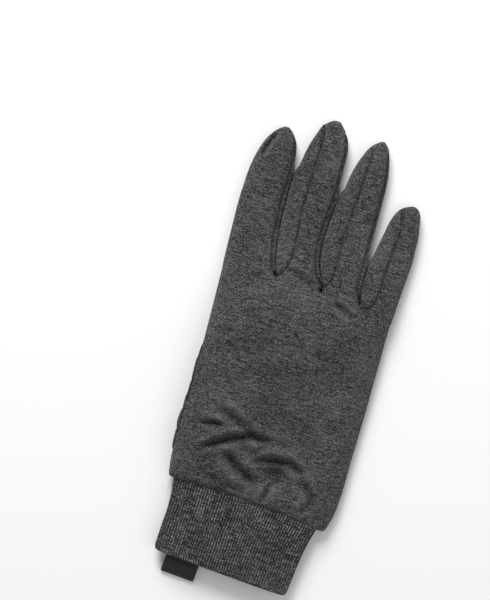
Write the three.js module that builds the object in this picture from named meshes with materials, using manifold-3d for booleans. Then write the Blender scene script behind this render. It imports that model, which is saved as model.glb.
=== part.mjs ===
// A knitted glove liner for the right hand, lying on its palm with the thumb folded under it.
// Millimetres, +Z up, +Y towards the fingertips, +X towards the little finger, resting on z = 0.
import * as THREE from "three";
import { mergeVertices } from "three/addons/utils/BufferGeometryUtils.js";
import Module from "manifold-3d";

const wasm = await Module();
wasm.setup();

// Driving dimensions
const FABRIC = 1.2; // wall of the knitted hand
const SEW_GAP = 0.3; // clearance between two sewn pieces
const HAND_WIDTH = 100; // across the knuckles, lying flat
const PALM_LENGTH = 127.5; // cuff seam to the crotch of index and middle finger
const PALM_DEPTH = 12.5; // thickness of the soft hand over the palm
const FINGER_DEPTH = 9.5; // thickness of a finger
const SIDE_SEAM_HEIGHT = 4.6; // height of the widest line round the hand
const INDEX_LENGTH = 79.5; // crotch to tip
const MIDDLE_LENGTH = 89.2;
const RING_LENGTH = 84.2;
const LITTLE_LENGTH = 63.7;
const LITTLE_DROP = 10; // how far the little finger's crotch lies below the others
const KNUCKLE_TURN = -7; // slant of the finger roots, in degrees
const CUFF_LENGTH = 40; // hem to the ends of the seam
const SEAM_BOW = 2.5; // how far the seam arches up in the middle
const CUFF_WIDTH = 85; // across the seam, lying flat
const CUFF_DEPTH = 10.5; // thickness of the flattened cuff
const CUFF_WALL = 2.2; // rib knit, folded double
const CUFF_TURN = -6; // slant of the cuff against the hand, in degrees
const CUFF_SHIFT = -6.3; // middle of the seam, towards the thumb
const CUFF_LAP = 2.5; // how far the cuff reaches up into the hand
const RIB_PITCH = 1.7; // one rib and one groove
const RIB_DEPTH = 0.5;
const THUMB_LENGTH = 110; // fold at the heel to the tip
const THUMB_WIDTH = 31; // halfway along, lying flat
const THUMB_DEPTH = 7;
const THUMB_SEAM_HEIGHT = 3.3; // height of the thumb's edge seam
const THUMB_LEAN = 43.7; // slant of the folded thumb across the palm, in degrees
const THUMB_HOLE_LENGTH = 26; // opening between palm and thumb
const THUMB_HOLE_WIDTH = 23;
const DRAPE_RUN = 18; // how far the palm takes to come down beside the thumb
const FOLD_FADE = 9; // how far above the cuff the dents reach their full depth
const THUMB_SHOW = 5; // how much of the hidden thumb lifts the back of the hand
const TAPE_WIDTH = 19; // pull tab
const TAPE_THICKNESS = 1.0;
const TAB_REACH = 10; // how far the tab stands out of the hem
const TAB_TUCK = 12; // how far its inner end runs up inside the cuff
const TAB_FROM_EDGE = 6.2; // from the cuff's index side to the tab, along the hem

// Places that follow from the dimensions
const degrees = THREE.MathUtils.degToRad;
const handX = (share) => (share - 0.5) * HAND_WIDTH;
const palmY = (share) => CUFF_LENGTH + share * PALM_LENGTH;
const CUFF_FLOOR = FABRIC + SEW_GAP + RIB_DEPTH / 2; // height of the cuff's underside
const CUFF_WHOLE = CUFF_LENGTH + SEAM_BOW + CUFF_LAP;
const WALL_ZONE = 1.25 * FABRIC; // height within which a wall keeps its thickness when it drapes
const DRAPE_CELL = 7.5; // edges of the draped cloth's facets shorter than this aren't split
const DRAPE_PASSES = 3; // how often a facet is halved at most
const DRAPE_ERROR = 0.3; // how far a longer edge may miss the true surface
const SKY = 200; // beyond every piece, for cutting blocks

// Outline of the hand from the cuff to the finger roots. along: share of PALM_LENGTH at the middle
// of the hand; left, right: shares of HAND_WIDTH; cuff, knuckles: shares of the two slants;
// depth: share of PALM_DEPTH
const PALM_SECTIONS = [
  { along: 0.08, left: -0.018, right: 0.938, cuff: 0.85, knuckles: 0, depth: 1.08 },
  { along: 0.165, left: -0.02, right: 0.951, cuff: 0.6, knuckles: 0, depth: 1.0 },
  { along: 0.3, left: -0.016, right: 0.958, cuff: 0.28, knuckles: 0, depth: 1.0 },
  { along: 0.49, left: -0.006, right: 0.969, cuff: 0, knuckles: 0, depth: 1.0 },
  { along: 0.68, left: 0, right: 0.976, cuff: 0, knuckles: 0.2, depth: 0.98 },
  { along: 0.81, left: 0, right: 0.98, cuff: 0, knuckles: 0.7, depth: 0.93 },
  { along: 0.92, left: 0, right: 0.984, cuff: 0, knuckles: 1, depth: 0.8 },
  { along: 0.955, left: 0.012, right: 0.974, cuff: 0, knuckles: 1, depth: 0.56 },
];

// Edge of the hand that rolls over the cuff. past: share of the way from the seam to just beyond
// the cuff's end; left, right, puff: how much wider and higher than a close fit on the cuff, as
// shares of HAND_WIDTH and PALM_DEPTH
const ROLLED_EDGE = [
  { past: 0, left: 0, right: 0.022, puff: 0 },
  { past: 0.45, left: 0.012, right: 0.034, puff: 0.05 },
  { past: 1, left: 0.02, right: 0.045, puff: 0.06 },
];

// Each finger. along: share of its length from the crotch; left, right: shares of HAND_WIDTH;
// full: share of its full thickness, which closes evenly on the side seam towards the tip
const FINGERS = {
  index: {
    length: INDEX_LENGTH,
    drop: 0,
    sections: [
      { along: -0.2, left: 0.02, right: 0.31, full: 0.7 },
      { along: -0.09, left: 0.012, right: 0.306, full: 0.9 },
      { along: 0.0, left: 0.0, right: 0.302, full: 1 },
      { along: 0.11, left: 0.0, right: 0.274, full: 1 },
      { along: 0.34, left: 0.0, right: 0.254, full: 1 },
      { along: 0.53, left: 0.006, right: 0.253, full: 1 },
      { along: 0.69, left: 0.019, right: 0.26, full: 0.98 },
      { along: 0.82, left: 0.045, right: 0.257, full: 0.9 },
      { along: 0.906, left: 0.076, right: 0.243, full: 0.77 },
      { along: 0.962, left: 0.112, right: 0.216, full: 0.57 },
      { along: 1.0, left: 0.15, right: 0.185, full: 0.3 },
    ],
  },
  middle: {
    length: MIDDLE_LENGTH,
    drop: 0,
    sections: [
      { along: -0.18, left: 0.292, right: 0.564, full: 0.7 },
      { along: -0.08, left: 0.296, right: 0.563, full: 0.88 },
      { along: 0.0, left: 0.298, right: 0.562, full: 1 },
      { along: 0.095, left: 0.283, right: 0.52, full: 1 },
      { along: 0.241, left: 0.267, right: 0.505, full: 1 },
      { along: 0.409, left: 0.261, right: 0.513, full: 1 },
      { along: 0.555, left: 0.266, right: 0.53, full: 1 },
      { along: 0.689, left: 0.281, right: 0.53, full: 0.98 },
      { along: 0.802, left: 0.301, right: 0.531, full: 0.91 },
      { along: 0.891, left: 0.328, right: 0.517, full: 0.77 },
      { along: 0.959, left: 0.357, right: 0.481, full: 0.54 },
      { along: 1.0, left: 0.405, right: 0.45, full: 0.3 },
    ],
  },
  ring: {
    length: RING_LENGTH,
    drop: 0,
    sections: [
      { along: -0.2, left: 0.556, right: 0.791, full: 0.7 },
      { along: -0.09, left: 0.556, right: 0.787, full: 0.88 },
      { along: 0.0, left: 0.557, right: 0.77, full: 1 },
      { along: 0.11, left: 0.529, right: 0.772, full: 1 },
      { along: 0.27, left: 0.514, right: 0.774, full: 1 },
      { along: 0.469, left: 0.528, right: 0.78, full: 1 },
      { along: 0.635, left: 0.549, right: 0.782, full: 0.98 },
      { along: 0.778, left: 0.573, right: 0.778, full: 0.91 },
      { along: 0.885, left: 0.606, right: 0.762, full: 0.77 },
      { along: 0.956, left: 0.64, right: 0.745, full: 0.55 },
      { along: 1.0, left: 0.685, right: 0.715, full: 0.3 },
    ],
  },
  little: {
    length: LITTLE_LENGTH,
    drop: LITTLE_DROP,
    sections: [
      { along: -0.25, left: 0.778, right: 0.964, full: 0.7 },
      { along: -0.1, left: 0.78, right: 0.974, full: 0.9 },
      { along: 0.0, left: 0.782, right: 0.988, full: 1 },
      { along: 0.13, left: 0.78, right: 0.995, full: 1 },
      { along: 0.369, left: 0.784, right: 1.01, full: 1 },
      { along: 0.542, left: 0.797, right: 1.019, full: 0.97 },
      { along: 0.714, left: 0.82, right: 1.019, full: 0.91 },
      { along: 0.84, left: 0.838, right: 1.009, full: 0.79 },
      { along: 0.926, left: 0.863, right: 1.002, full: 0.61 },
      { along: 0.973, left: 0.893, right: 0.987, full: 0.43 },
      { along: 1.0, left: 0.935, right: 0.965, full: 0.28 },
    ],
  },
};

// The folded thumb, in its own frame: along its lower fold, and across towards the fingers.
// along: share of THUMB_LENGTH; low, high: shares of THUMB_WIDTH; full: share of THUMB_DEPTH
const THUMB_SECTIONS = [
  { along: -0.1, low: -0.08, high: 0.1, full: 0.35 },
  { along: -0.08, low: -0.2, high: 0.22, full: 0.6 },
  { along: -0.045, low: -0.31, high: 0.33, full: 0.85 },
  { along: 0.01, low: -0.4, high: 0.45, full: 1 },
  { along: 0.07, low: -0.41, high: 0.62, full: 1 },
  { along: 0.15, low: -0.3, high: 0.88, full: 1 },
  { along: 0.24, low: -0.13, high: 1.05, full: 1 },
  { along: 0.33, low: -0.02, high: 1.16, full: 1 },
  { along: 0.47, low: 0, high: 1.16, full: 1 },
  { along: 0.56, low: 0, high: 1.06, full: 1 },
  { along: 0.68, low: 0, high: 1.0, full: 1 },
  { along: 0.8, low: 0, high: 0.96, full: 0.95 },
  { along: 0.88, low: 0.03, high: 0.86, full: 0.84 },
  { along: 0.95, low: 0.14, high: 0.76, full: 0.66 },
  { along: 0.99, low: 0.3, high: 0.64, full: 0.45 },
];

// Flattened cuff. along: share of CUFF_WHOLE from the hem; left, right: shares of CUFF_WIDTH
const CUFF_SECTIONS = [
  { along: 0, left: -0.432, right: 0.435, depth: 0.93 },
  { along: 0.035, left: -0.446, right: 0.452, depth: 0.99 },
  { along: 0.6, left: -0.455, right: 0.466, depth: 1 },
  { along: 1.0, left: -0.49, right: 0.5, depth: 1 },
];

// Dents in the back of the hand. Ends: shares of HAND_WIDTH and PALM_LENGTH;
// deep: share of PALM_DEPTH; spread: share of HAND_WIDTH
const FOLDS = [
  { x0: 0.12, y0: 0.19, x1: 0.31, y1: 0.27, deep: 0.22, spread: 0.055 },
  { x0: 0.3, y0: 0.265, x1: 0.48, y1: 0.305, deep: 0.2, spread: 0.055 },
  { x0: 0.22, y0: 0.345, x1: 0.37, y1: 0.315, deep: 0.12, spread: 0.05 },
  { x0: 0.33, y0: 0.19, x1: 0.45, y1: 0.1, deep: 0.14, spread: 0.05 },
  { x0: 0.49, y0: 0.2, x1: 0.63, y1: 0.165, deep: 0.24, spread: 0.07 },
  { x0: 0.53, y0: 0.05, x1: 0.54, y1: 0.16, deep: 0.16, spread: 0.045 },
  { x0: 0.64, y0: 0.155, x1: 0.73, y1: 0.04, deep: 0.14, spread: 0.055 },
  { x0: 0.38, y0: 0.985, x1: 0.49, y1: 0.945, deep: 0.07, spread: 0.04 },
  { x0: 0.66, y0: 0.9, x1: 0.75, y1: 0.87, deep: 0.09, spread: 0.05 },
];

// Seams that bound the side strips between the fingers, as shares of HAND_WIDTH in from the edge
// of the finger. along: share of the finger's length
const STRIP_SEAMS = [
  { along: 0.03, fromRightEdge: 0.02, fromLeftEdge: 0.05 },
  { along: 0.1, fromRightEdge: 0.018, fromLeftEdge: 0.08 },
  { along: 0.3, fromRightEdge: 0.018, fromLeftEdge: 0.098 },
  { along: 0.6, fromRightEdge: 0.018, fromLeftEdge: 0.094 },
  { along: 0.8, fromRightEdge: 0.018, fromLeftEdge: 0.072 },
  { along: 0.9, fromRightEdge: 0.014, fromLeftEdge: 0.042 },
  { along: 0.975, fromRightEdge: -0.012, fromLeftEdge: -0.012 },
];
const STRIP_LOW_SEAM = 2.6; // height of the strips' seam on the palm side
const STRIP_START = 0.045; // share of a finger's length from the crotch down to the strip's round end

const smooth = (t) => {
  const c = Math.min(1, Math.max(0, t));
  return c * c * (3 - 2 * c);
};

// Value of a column at a place along a table, between its rows
function at(rows, along, column) {
  const next = rows.findIndex((row) => row.along >= along);
  if (next <= 0) return rows[next === 0 ? 0 : rows.length - 1][column];
  const a = rows[next - 1];
  const b = rows[next];
  return THREE.MathUtils.lerp(a[column], b[column], (along - a.along) / (b.along - a.along));
}

// The folded thumb's own frame on the palm
const thumbHeel = new THREE.Vector2(handX(0.08), palmY(0.283));
const thumbAlong = new THREE.Vector2(Math.sin(degrees(THUMB_LEAN)), Math.cos(degrees(THUMB_LEAN)));
const thumbAcross = new THREE.Vector2(-thumbAlong.y, thumbAlong.x);
const onThumb = (along, across) =>
  thumbHeel.clone().addScaledVector(thumbAlong, along).addScaledVector(thumbAcross, across);

// How far a point lies outside the thumb's outline
function besideThumb(x, y) {
  const from = new THREE.Vector2(x, y).sub(thumbHeel);
  const along = from.dot(thumbAlong);
  const across = from.dot(thumbAcross);
  const share = along / THUMB_LENGTH;
  const low = at(THUMB_SECTIONS, share, "low") * THUMB_WIDTH;
  const high = at(THUMB_SECTIONS, share, "high") * THUMB_WIDTH;
  const first = THUMB_SECTIONS[0].along * THUMB_LENGTH;
  const last = THUMB_SECTIONS.at(-1).along * THUMB_LENGTH;
  const endwise = Math.max(first - along, along - last, 0);
  const sideways = Math.max(low - across, across - high, 0);
  return Math.hypot(endwise, sideways);
}

// How far the cloth is raised by the thumb under it: fully at the palm, less at the back
function lifted(x, y, towardsBack) {
  const out = besideThumb(x, y);
  const palm = (THUMB_DEPTH + 2 * SEW_GAP) * smooth(1 - out / DRAPE_RUN);
  const back = THUMB_SHOW * smooth(1 - out / (2 * DRAPE_RUN));
  return THREE.MathUtils.lerp(palm, back, towardsBack);
}

// Depth of the dents in the back of the hand at a point; they fade out at the cuff
function dented(x, y) {
  const overCuff = y - palmY(0.02) - x * Math.tan(degrees(CUFF_TURN));
  let deep = 0;
  for (const fold of FOLDS) {
    const a = new THREE.Vector2(handX(fold.x0), palmY(fold.y0));
    const b = new THREE.Vector2(handX(fold.x1), palmY(fold.y1));
    const along = b.clone().sub(a);
    const from = new THREE.Vector2(x, y).sub(a);
    const t = Math.min(1, Math.max(0, from.dot(along) / along.lengthSq()));
    const away = from.sub(along.multiplyScalar(t)).length();
    deep += fold.deep * PALM_DEPTH * smooth(1 - away / (2 * fold.spread * HAND_WIDTH));
  }
  return deep * smooth(overCuff / FOLD_FADE);
}

// Points round one soft oval section between two edge points in plan. top and bottom are heights
// over and under the edge; inset moves the whole section inwards for the hollow
const STEPS_ACROSS = { palm: 14, finger: 6, thumb: 8 };
const ROUNDNESS = { back: 2.6, palm: 4.2 };
const CUFF_ROUNDNESS = { back: 3.2, palm: 9 };
const REST_SHARE = 1.05; // over 1 gives the section a flat stretch to rest on

function ovalSection({ left, right, edge, top, bottom, inset, steps, roundness, bow }) {
  const span = right.clone().sub(left);
  const half = span.length() / 2;
  const middle = left.clone().add(right).multiplyScalar(0.5);
  const direction = span.normalize();
  const reach = Math.max(half - inset, 0.4);
  const over = Math.max(top - inset, 0.3);
  const under = Math.max(bottom - inset, 0.3);
  const ring = [];
  const place = (s, z) => {
    const p = middle.clone().addScaledVector(direction, s * reach);
    ring.push(new THREE.Vector3(p.x, p.y + (bow ? bow(p.x) : 0), edge + z));
  };
  const across = (i) => {
    const u = -1 + (2 * i) / steps;
    return 0.55 * u + 0.45 * Math.sin((Math.PI * u) / 2);
  };
  for (let i = steps; i > 0; i--) {
    const s = across(i);
    place(s, over * Math.sqrt(Math.max(0, 1 - Math.abs(s) ** roundness.back)));
  }
  for (let i = 0; i < steps; i++) {
    const s = across(i);
    const hang = REST_SHARE * Math.sqrt(Math.max(0, 1 - Math.abs(s) ** roundness.palm));
    place(s, -under * Math.min(1, hang));
  }
  return ring;
}

// Closed solid through rings of points, capped at both ends
function loft(rings) {
  const vertices = rings.flat();
  const count = rings[0].length;
  const triangles = [];
  for (let r = 0; r + 1 < rings.length; r++)
    for (let i = 0; i < count; i++) {
      const j = (i + 1) % count;
      const [a, b, c, d] = [r * count + i, r * count + j, (r + 1) * count + j, (r + 1) * count + i];
      triangles.push(a, c, b, a, d, c);
    }
  for (const [start, turned] of [[0, false], [(rings.length - 1) * count, true]]) {
    const ring = vertices.slice(start, start + count);
    const middle = ring.reduce((sum, p) => sum.add(p), new THREE.Vector3()).divideScalar(count);
    const centre = vertices.push(middle) - 1;
    for (let i = 0; i < count; i++) {
      const a = start + i;
      const b = start + ((i + 1) % count);
      triangles.push(centre, ...(turned ? [b, a] : [a, b]));
    }
  }
  const geometry = new THREE.BufferGeometry().setFromPoints(vertices).setIndex(triangles);
  return solidOf(geometry);
}

function solidOf(geometry) {
  const bare = geometry.clone();
  bare.deleteAttribute("normal");
  bare.deleteAttribute("uv");
  const merged = mergeVertices(bare, 1e-4);
  let solid = new wasm.Manifold(
    new wasm.Mesh({
      numProp: 3,
      vertProperties: merged.attributes.position.array,
      triVerts: new Uint32Array(merged.index.array),
    }),
  );
  if (solid.volume() < 0) {
    const index = merged.index.array;
    for (let i = 0; i < index.length; i += 3) [index[i], index[i + 1]] = [index[i + 1], index[i]];
    solid = new wasm.Manifold(
      new wasm.Mesh({
        numProp: 3,
        vertProperties: merged.attributes.position.array,
        triVerts: new Uint32Array(index),
      }),
    );
  }
  return solid;
}

// The largest of the bodies that a cut leaves
function mainBody(solid) {
  return solid.decompose().reduce((a, b) => (a.volume() > b.volume() ? a : b));
}

function geometryOf(solid) {
  const made = mainBody(solid).getMesh();
  return new THREE.BufferGeometry()
    .setAttribute("position", new THREE.BufferAttribute(made.vertProperties, 3))
    .setIndex(new THREE.BufferAttribute(made.triVerts, 1));
}

function meshOf(name, geometry, material) {
  geometry.computeVertexNormals();
  const mesh = new THREE.Mesh(geometry, material);
  mesh.name = name;
  return mesh;
}

// Upright prism over a closed outline in plan
function prism(outline, bottom, top) {
  const shape = new THREE.Shape(outline);
  const geometry = new THREE.ExtrudeGeometry(shape, { depth: top - bottom, bevelEnabled: false });
  return solidOf(geometry.translate(0, 0, bottom));
}

// Slab over the whole glove between two heights
function slab(bottom, top) {
  const geometry = new THREE.BoxGeometry(2 * SKY, 4 * SKY, top - bottom);
  return solidOf(geometry.translate(0, 0, (bottom + top) / 2));
}

// How far the cloth of the hand is moved up or down where it lies: raised by the thumb under it
// and dented at the back
function drape(p) {
  const towardsBack = smooth((p.z - WALL_ZONE) / (FINGER_DEPTH - 2 * WALL_ZONE));
  return lifted(p.x, p.y, towardsBack) - towardsBack * dented(p.x, p.y);
}

// Whether the drape bends so much along an edge that the edge has to be split
function bends(a, b) {
  if (a.distanceTo(b) < DRAPE_CELL) return false;
  return [0.25, 0.5, 0.75].some((t) => {
    const straight = THREE.MathUtils.lerp(drape(a), drape(b), t);
    return Math.abs(drape(a.clone().lerp(b, t)) - straight) > DRAPE_ERROR;
  });
}

// Triangles of a solid, split wherever the drape bends within them
function refined(solid) {
  const { vertProperties, triVerts } = mainBody(solid).getMesh();
  const points = [];
  for (let i = 0; i < vertProperties.length; i += 3)
    points.push(new THREE.Vector3().fromArray(vertProperties, i));
  let triangles = [];
  for (let i = 0; i < triVerts.length; i += 3) triangles.push([...triVerts.slice(i, i + 3)]);
  for (let pass = 0; pass < DRAPE_PASSES; pass++) {
    const middles = new Map();
    const middleOf = (a, b) => {
      const key = a < b ? a + "_" + b : b + "_" + a;
      if (!middles.has(key)) {
        const split = bends(points[a], points[b]);
        middles.set(key, split ? points.push(points[a].clone().lerp(points[b], 0.5)) - 1 : -1);
      }
      return middles.get(key);
    };
    triangles = triangles.flatMap((corners) => splitTriangle(corners, middleOf));
  }
  return { points, triangles };
}

// One triangle, split at the middles of its long edges
function splitTriangle(corners, middleOf) {
  const middles = corners.map((a, i) => middleOf(a, corners[(i + 1) % 3]));
  const split = middles.filter((m) => m >= 0).length;
  if (split === 0) return [corners];
  if (split === 3) {
    const [a, b, c] = corners;
    const [ab, bc, ca] = middles;
    return [[a, ab, ca], [ab, b, bc], [ca, bc, c], [ab, bc, ca]];
  }
  const turn = middles.findIndex((m, i) => m >= 0 && (split === 1 || middles[(i + 2) % 3] < 0));
  const [a, b, c] = [0, 1, 2].map((i) => corners[(i + turn) % 3]);
  const [ab, bc] = [0, 1].map((i) => middles[(i + turn) % 3]);
  return split === 1 ? [[a, ab, c], [ab, b, c]] : [[a, ab, c], [ab, bc, c], [ab, b, bc]];
}

// The cloth as it lies
function draped(solid) {
  const { points, triangles } = refined(solid);
  for (const p of points) p.z += drape(p);
  return new THREE.BufferGeometry().setFromPoints(points).setIndex(triangles.flat());
}

function cuffFrame() {
  const turn = degrees(CUFF_TURN);
  const across = new THREE.Vector2(Math.cos(turn), Math.sin(turn));
  const along = new THREE.Vector2(-across.y, across.x);
  const seamMiddle = new THREE.Vector2(CUFF_SHIFT, CUFF_LENGTH - CUFF_SHIFT * Math.tan(-turn));
  return (lengthwise, sideways) =>
    seamMiddle
      .clone()
      .addScaledVector(along, lengthwise - CUFF_LENGTH)
      .addScaledVector(across, sideways);
}
const onCuff = cuffFrame();

// One section of the hand's edge, outside the cuff by a clearance and its own wall
function rolledEdge(row, inset) {
  const last = CUFF_SECTIONS.at(-1);
  const beyond = RIB_DEPTH / 2 + 2 * SEW_GAP + FABRIC;
  const arch = (x) => 1 - ((x - CUFF_SHIFT) / (CUFF_WIDTH / 2)) ** 2;
  const reach = CUFF_WHOLE + 2 * FABRIC - CUFF_LENGTH;
  const lengthwise = CUFF_LENGTH + row.past * reach;
  return ovalSection({
    left: onCuff(lengthwise, last.left * CUFF_WIDTH - beyond - row.left * HAND_WIDTH),
    right: onCuff(lengthwise, last.right * CUFF_WIDTH + beyond + row.right * HAND_WIDTH),
    edge: CUFF_FLOOR + CUFF_DEPTH / 2,
    top: CUFF_DEPTH / 2 + beyond + row.puff * PALM_DEPTH,
    bottom: CUFF_FLOOR + CUFF_DEPTH / 2,
    inset,
    steps: STEPS_ACROSS.palm,
    roundness: CUFF_ROUNDNESS,
    bow: (x) => (1 - row.past) * SEAM_BOW * Math.max(0, arch(x)),
  });
}

function handSection(row, inset) {
  const slope = Math.tan(degrees(row.cuff * CUFF_TURN + row.knuckles * KNUCKLE_TURN));
  const y = palmY(row.along * (1 - inset / PALM_LENGTH));
  const end = (share) => new THREE.Vector2(handX(share), y + handX(share) * slope);
  return ovalSection({
    left: end(row.left),
    right: end(row.right),
    edge: SIDE_SEAM_HEIGHT,
    top: row.depth * PALM_DEPTH - SIDE_SEAM_HEIGHT,
    bottom: SIDE_SEAM_HEIGHT,
    inset,
    steps: STEPS_ACROSS.palm,
    roundness: ROUNDNESS,
  });
}

function fingerSection(finger, row, inset) {
  const start = palmY(1) - finger.drop;
  const y = start + row.along * (finger.length - (row.along > 0 ? inset : 0));
  return ovalSection({
    left: new THREE.Vector2(handX(row.left), y),
    right: new THREE.Vector2(handX(row.right), y),
    edge: SIDE_SEAM_HEIGHT,
    top: row.full * (FINGER_DEPTH - SIDE_SEAM_HEIGHT),
    bottom: row.full * SIDE_SEAM_HEIGHT,
    inset,
    steps: STEPS_ACROSS.finger,
    roundness: ROUNDNESS,
  });
}

// The whole hand without its thumb, as one solid form; inset gives the form of its hollow
function handForm(inset) {
  const belowEdge = inset ? [rolledEdge({ ...ROLLED_EDGE[0], past: -0.3 }, inset)] : [];
  const edge = ROLLED_EDGE.map((row) => rolledEdge(row, inset));
  const hollowEnd = inset ? -1 : PALM_SECTIONS.length;
  const rows = PALM_SECTIONS.slice(0, hollowEnd).map((row) => handSection(row, inset));
  const palm = loft([...belowEdge, ...edge, ...rows]);
  return Object.values(FINGERS).reduce(
    (form, finger) => form.add(loft(finger.sections.map((row) => fingerSection(finger, row, inset)))),
    palm,
  );
}

// Outline in plan of the side strip between two neighbouring fingers
function stripOutline(leftFinger, rightFinger) {
  const place = (finger, along, share) =>
    new THREE.Vector2(handX(share), palmY(1) - finger.drop + along * finger.length);
  const upLeft = STRIP_SEAMS.map(({ along, fromRightEdge }) =>
    place(leftFinger, along, at(leftFinger.sections, along, "right") - fromRightEdge),
  );
  const upRight = STRIP_SEAMS.map(({ along, fromLeftEdge }) =>
    place(rightFinger, along, at(rightFinger.sections, along, "left") + fromLeftEdge),
  );
  const [start, end] = [upLeft[0], upRight[0]];
  const roundEnd = [0.2, 0.5, 0.8].map((t) => {
    const hang = STRIP_START * rightFinger.length * Math.sin(Math.PI * t);
    return start.clone().lerp(end, t).add(new THREE.Vector2(0, -hang));
  });
  return [...roundEnd, ...upRight, ...upLeft.reverse()];
}

// The same outline, moved outwards by a margin
function grown(outline, margin) {
  return outline.map((p, i) => {
    const before = p.clone().sub(outline.at(i - 1)).normalize();
    const after = outline[(i + 1) % outline.length].clone().sub(p).normalize();
    const mitre = new THREE.Vector2(before.y + after.y, -before.x - after.x);
    return p.clone().addScaledVector(mitre, margin / Math.max(0.5, 1 + before.dot(after)));
  });
}

function thumbSection(row, inset) {
  const along = row.along * THUMB_LENGTH;
  const inwards = row.along < 0 ? inset : row.along > 0.8 ? -inset : 0;
  return ovalSection({
    left: onThumb(along + inwards, row.high * THUMB_WIDTH),
    right: onThumb(along + inwards, row.low * THUMB_WIDTH),
    edge: THUMB_SEAM_HEIGHT,
    top: row.full * (THUMB_DEPTH - THUMB_SEAM_HEIGHT),
    bottom: row.full * THUMB_SEAM_HEIGHT,
    inset,
    steps: STEPS_ACROSS.thumb,
    roundness: ROUNDNESS,
  });
}

// Oval opening through which the thumb goes from the palm into its stall
const HOLE_PLACE = { along: 0.127, across: 0.19 }; // shares of the thumb's length and width
const HOLE_CORNERS = 24;
function thumbHoleOutline() {
  const outline = [];
  for (let i = 0; i < HOLE_CORNERS; i++) {
    const a = (2 * Math.PI * i) / HOLE_CORNERS;
    const along = HOLE_PLACE.along * THUMB_LENGTH + (THUMB_HOLE_LENGTH / 2) * Math.cos(a);
    const across = HOLE_PLACE.across * THUMB_WIDTH + (THUMB_HOLE_WIDTH / 2) * Math.sin(a);
    outline.push(onThumb(along, across));
  }
  return outline;
}

// Ribbed outline of one cuff section, evenly spaced round it
function ribbedSection(row) {
  const plain = cuffSection(row, 0, 60);
  const path = new THREE.CurvePath();
  plain.forEach((p, i) => path.add(new THREE.LineCurve3(p, plain[(i + 1) % plain.length])));
  const ribs = ribCount();
  const middle = onCuff(row.along * CUFF_WHOLE, 0);
  const spaced = path.getSpacedPoints(2 * ribs).slice(0, -1);
  return spaced.map((p, i) => {
    const before = spaced.at(i - 1);
    const after = spaced[(i + 1) % spaced.length];
    const run = after.clone().sub(before).normalize();
    const along = new THREE.Vector3(...onCuff(row.along * CUFF_WHOLE + 1, 0).sub(middle), 0);
    const outwards = run.cross(along.normalize()).normalize();
    const centre = new THREE.Vector3(middle.x, middle.y, CUFF_FLOOR + CUFF_DEPTH / 2);
    if (outwards.dot(p.clone().sub(centre)) < 0) outwards.negate();
    return p.clone().addScaledVector(outwards, (i % 2 ? -0.5 : 0.5) * RIB_DEPTH);
  });
}

function cuffSection(row, inset, steps) {
  return ovalSection({
    left: onCuff(row.along * CUFF_WHOLE, row.left * CUFF_WIDTH),
    right: onCuff(row.along * CUFF_WHOLE, row.right * CUFF_WIDTH),
    edge: CUFF_FLOOR + CUFF_DEPTH / 2,
    top: (row.depth * CUFF_DEPTH) / 2,
    bottom: (row.depth * CUFF_DEPTH) / 2,
    inset,
    steps,
    roundness: CUFF_ROUNDNESS,
  });
}

// A round number of ribs in the length of cloth round the seam
function ribCount() {
  const around = cuffSection(CUFF_SECTIONS.at(-1), 0, STEPS_ACROSS.palm);
  const girth = around.reduce((sum, p, i) => sum + p.distanceTo(around.at(i - 1)), 0);
  return Math.round(girth / RIB_PITCH);
}

// Pull tab: one tape from the seam down the palm side of the cuff, round the hem and up inside it
function tapeSolid() {
  const half = TAPE_THICKNESS / 2;
  const outerLevel = half;
  const innerLevel = CUFF_FLOOR + 0.08 * CUFF_DEPTH + CUFF_WALL + SEW_GAP + half;
  const foldRadius = TAPE_THICKNESS * 0.75;
  const top = CUFF_LENGTH - SEW_GAP;
  const end = -TAB_REACH;
  const centreline = [
    [top, outerLevel],
    [end + foldRadius, outerLevel],
    [end, outerLevel + foldRadius],
    [end + foldRadius, outerLevel + 2 * foldRadius],
    [-SEW_GAP - 2 * half, innerLevel],
    [TAB_TUCK, innerLevel],
  ].map(([along, z]) => new THREE.Vector2(along, z));
  const side = (sign) =>
    centreline.map((p, i) => {
      const before = centreline[Math.max(i - 1, 0)];
      const after = centreline[Math.min(i + 1, centreline.length - 1)];
      const run = after.clone().sub(before).normalize();
      return p.clone().add(new THREE.Vector2(-run.y, run.x).multiplyScalar(sign * half));
    });
  const outline = [...side(1), ...side(-1).reverse()];
  const geometry = new THREE.ExtrudeGeometry(new THREE.Shape(outline), {
    depth: TAPE_WIDTH,
    bevelEnabled: false,
  });
  const positions = geometry.attributes.position;
  const edge = CUFF_SECTIONS[0].left * CUFF_WIDTH + TAB_FROM_EDGE;
  for (let i = 0; i < positions.count; i++) {
    const p = onCuff(positions.getX(i), edge + positions.getZ(i));
    positions.setXYZ(i, p.x, p.y, positions.getY(i));
  }
  return solidOf(geometry);
}

const knit = new THREE.MeshStandardMaterial({ color: 0x46464a, roughness: 0.95, metalness: 0 });
const rib = new THREE.MeshStandardMaterial({ color: 0x404044, roughness: 0.95, metalness: 0 });
const webbing = new THREE.MeshStandardMaterial({ color: 0x222428, roughness: 0.7, metalness: 0 });

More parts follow.
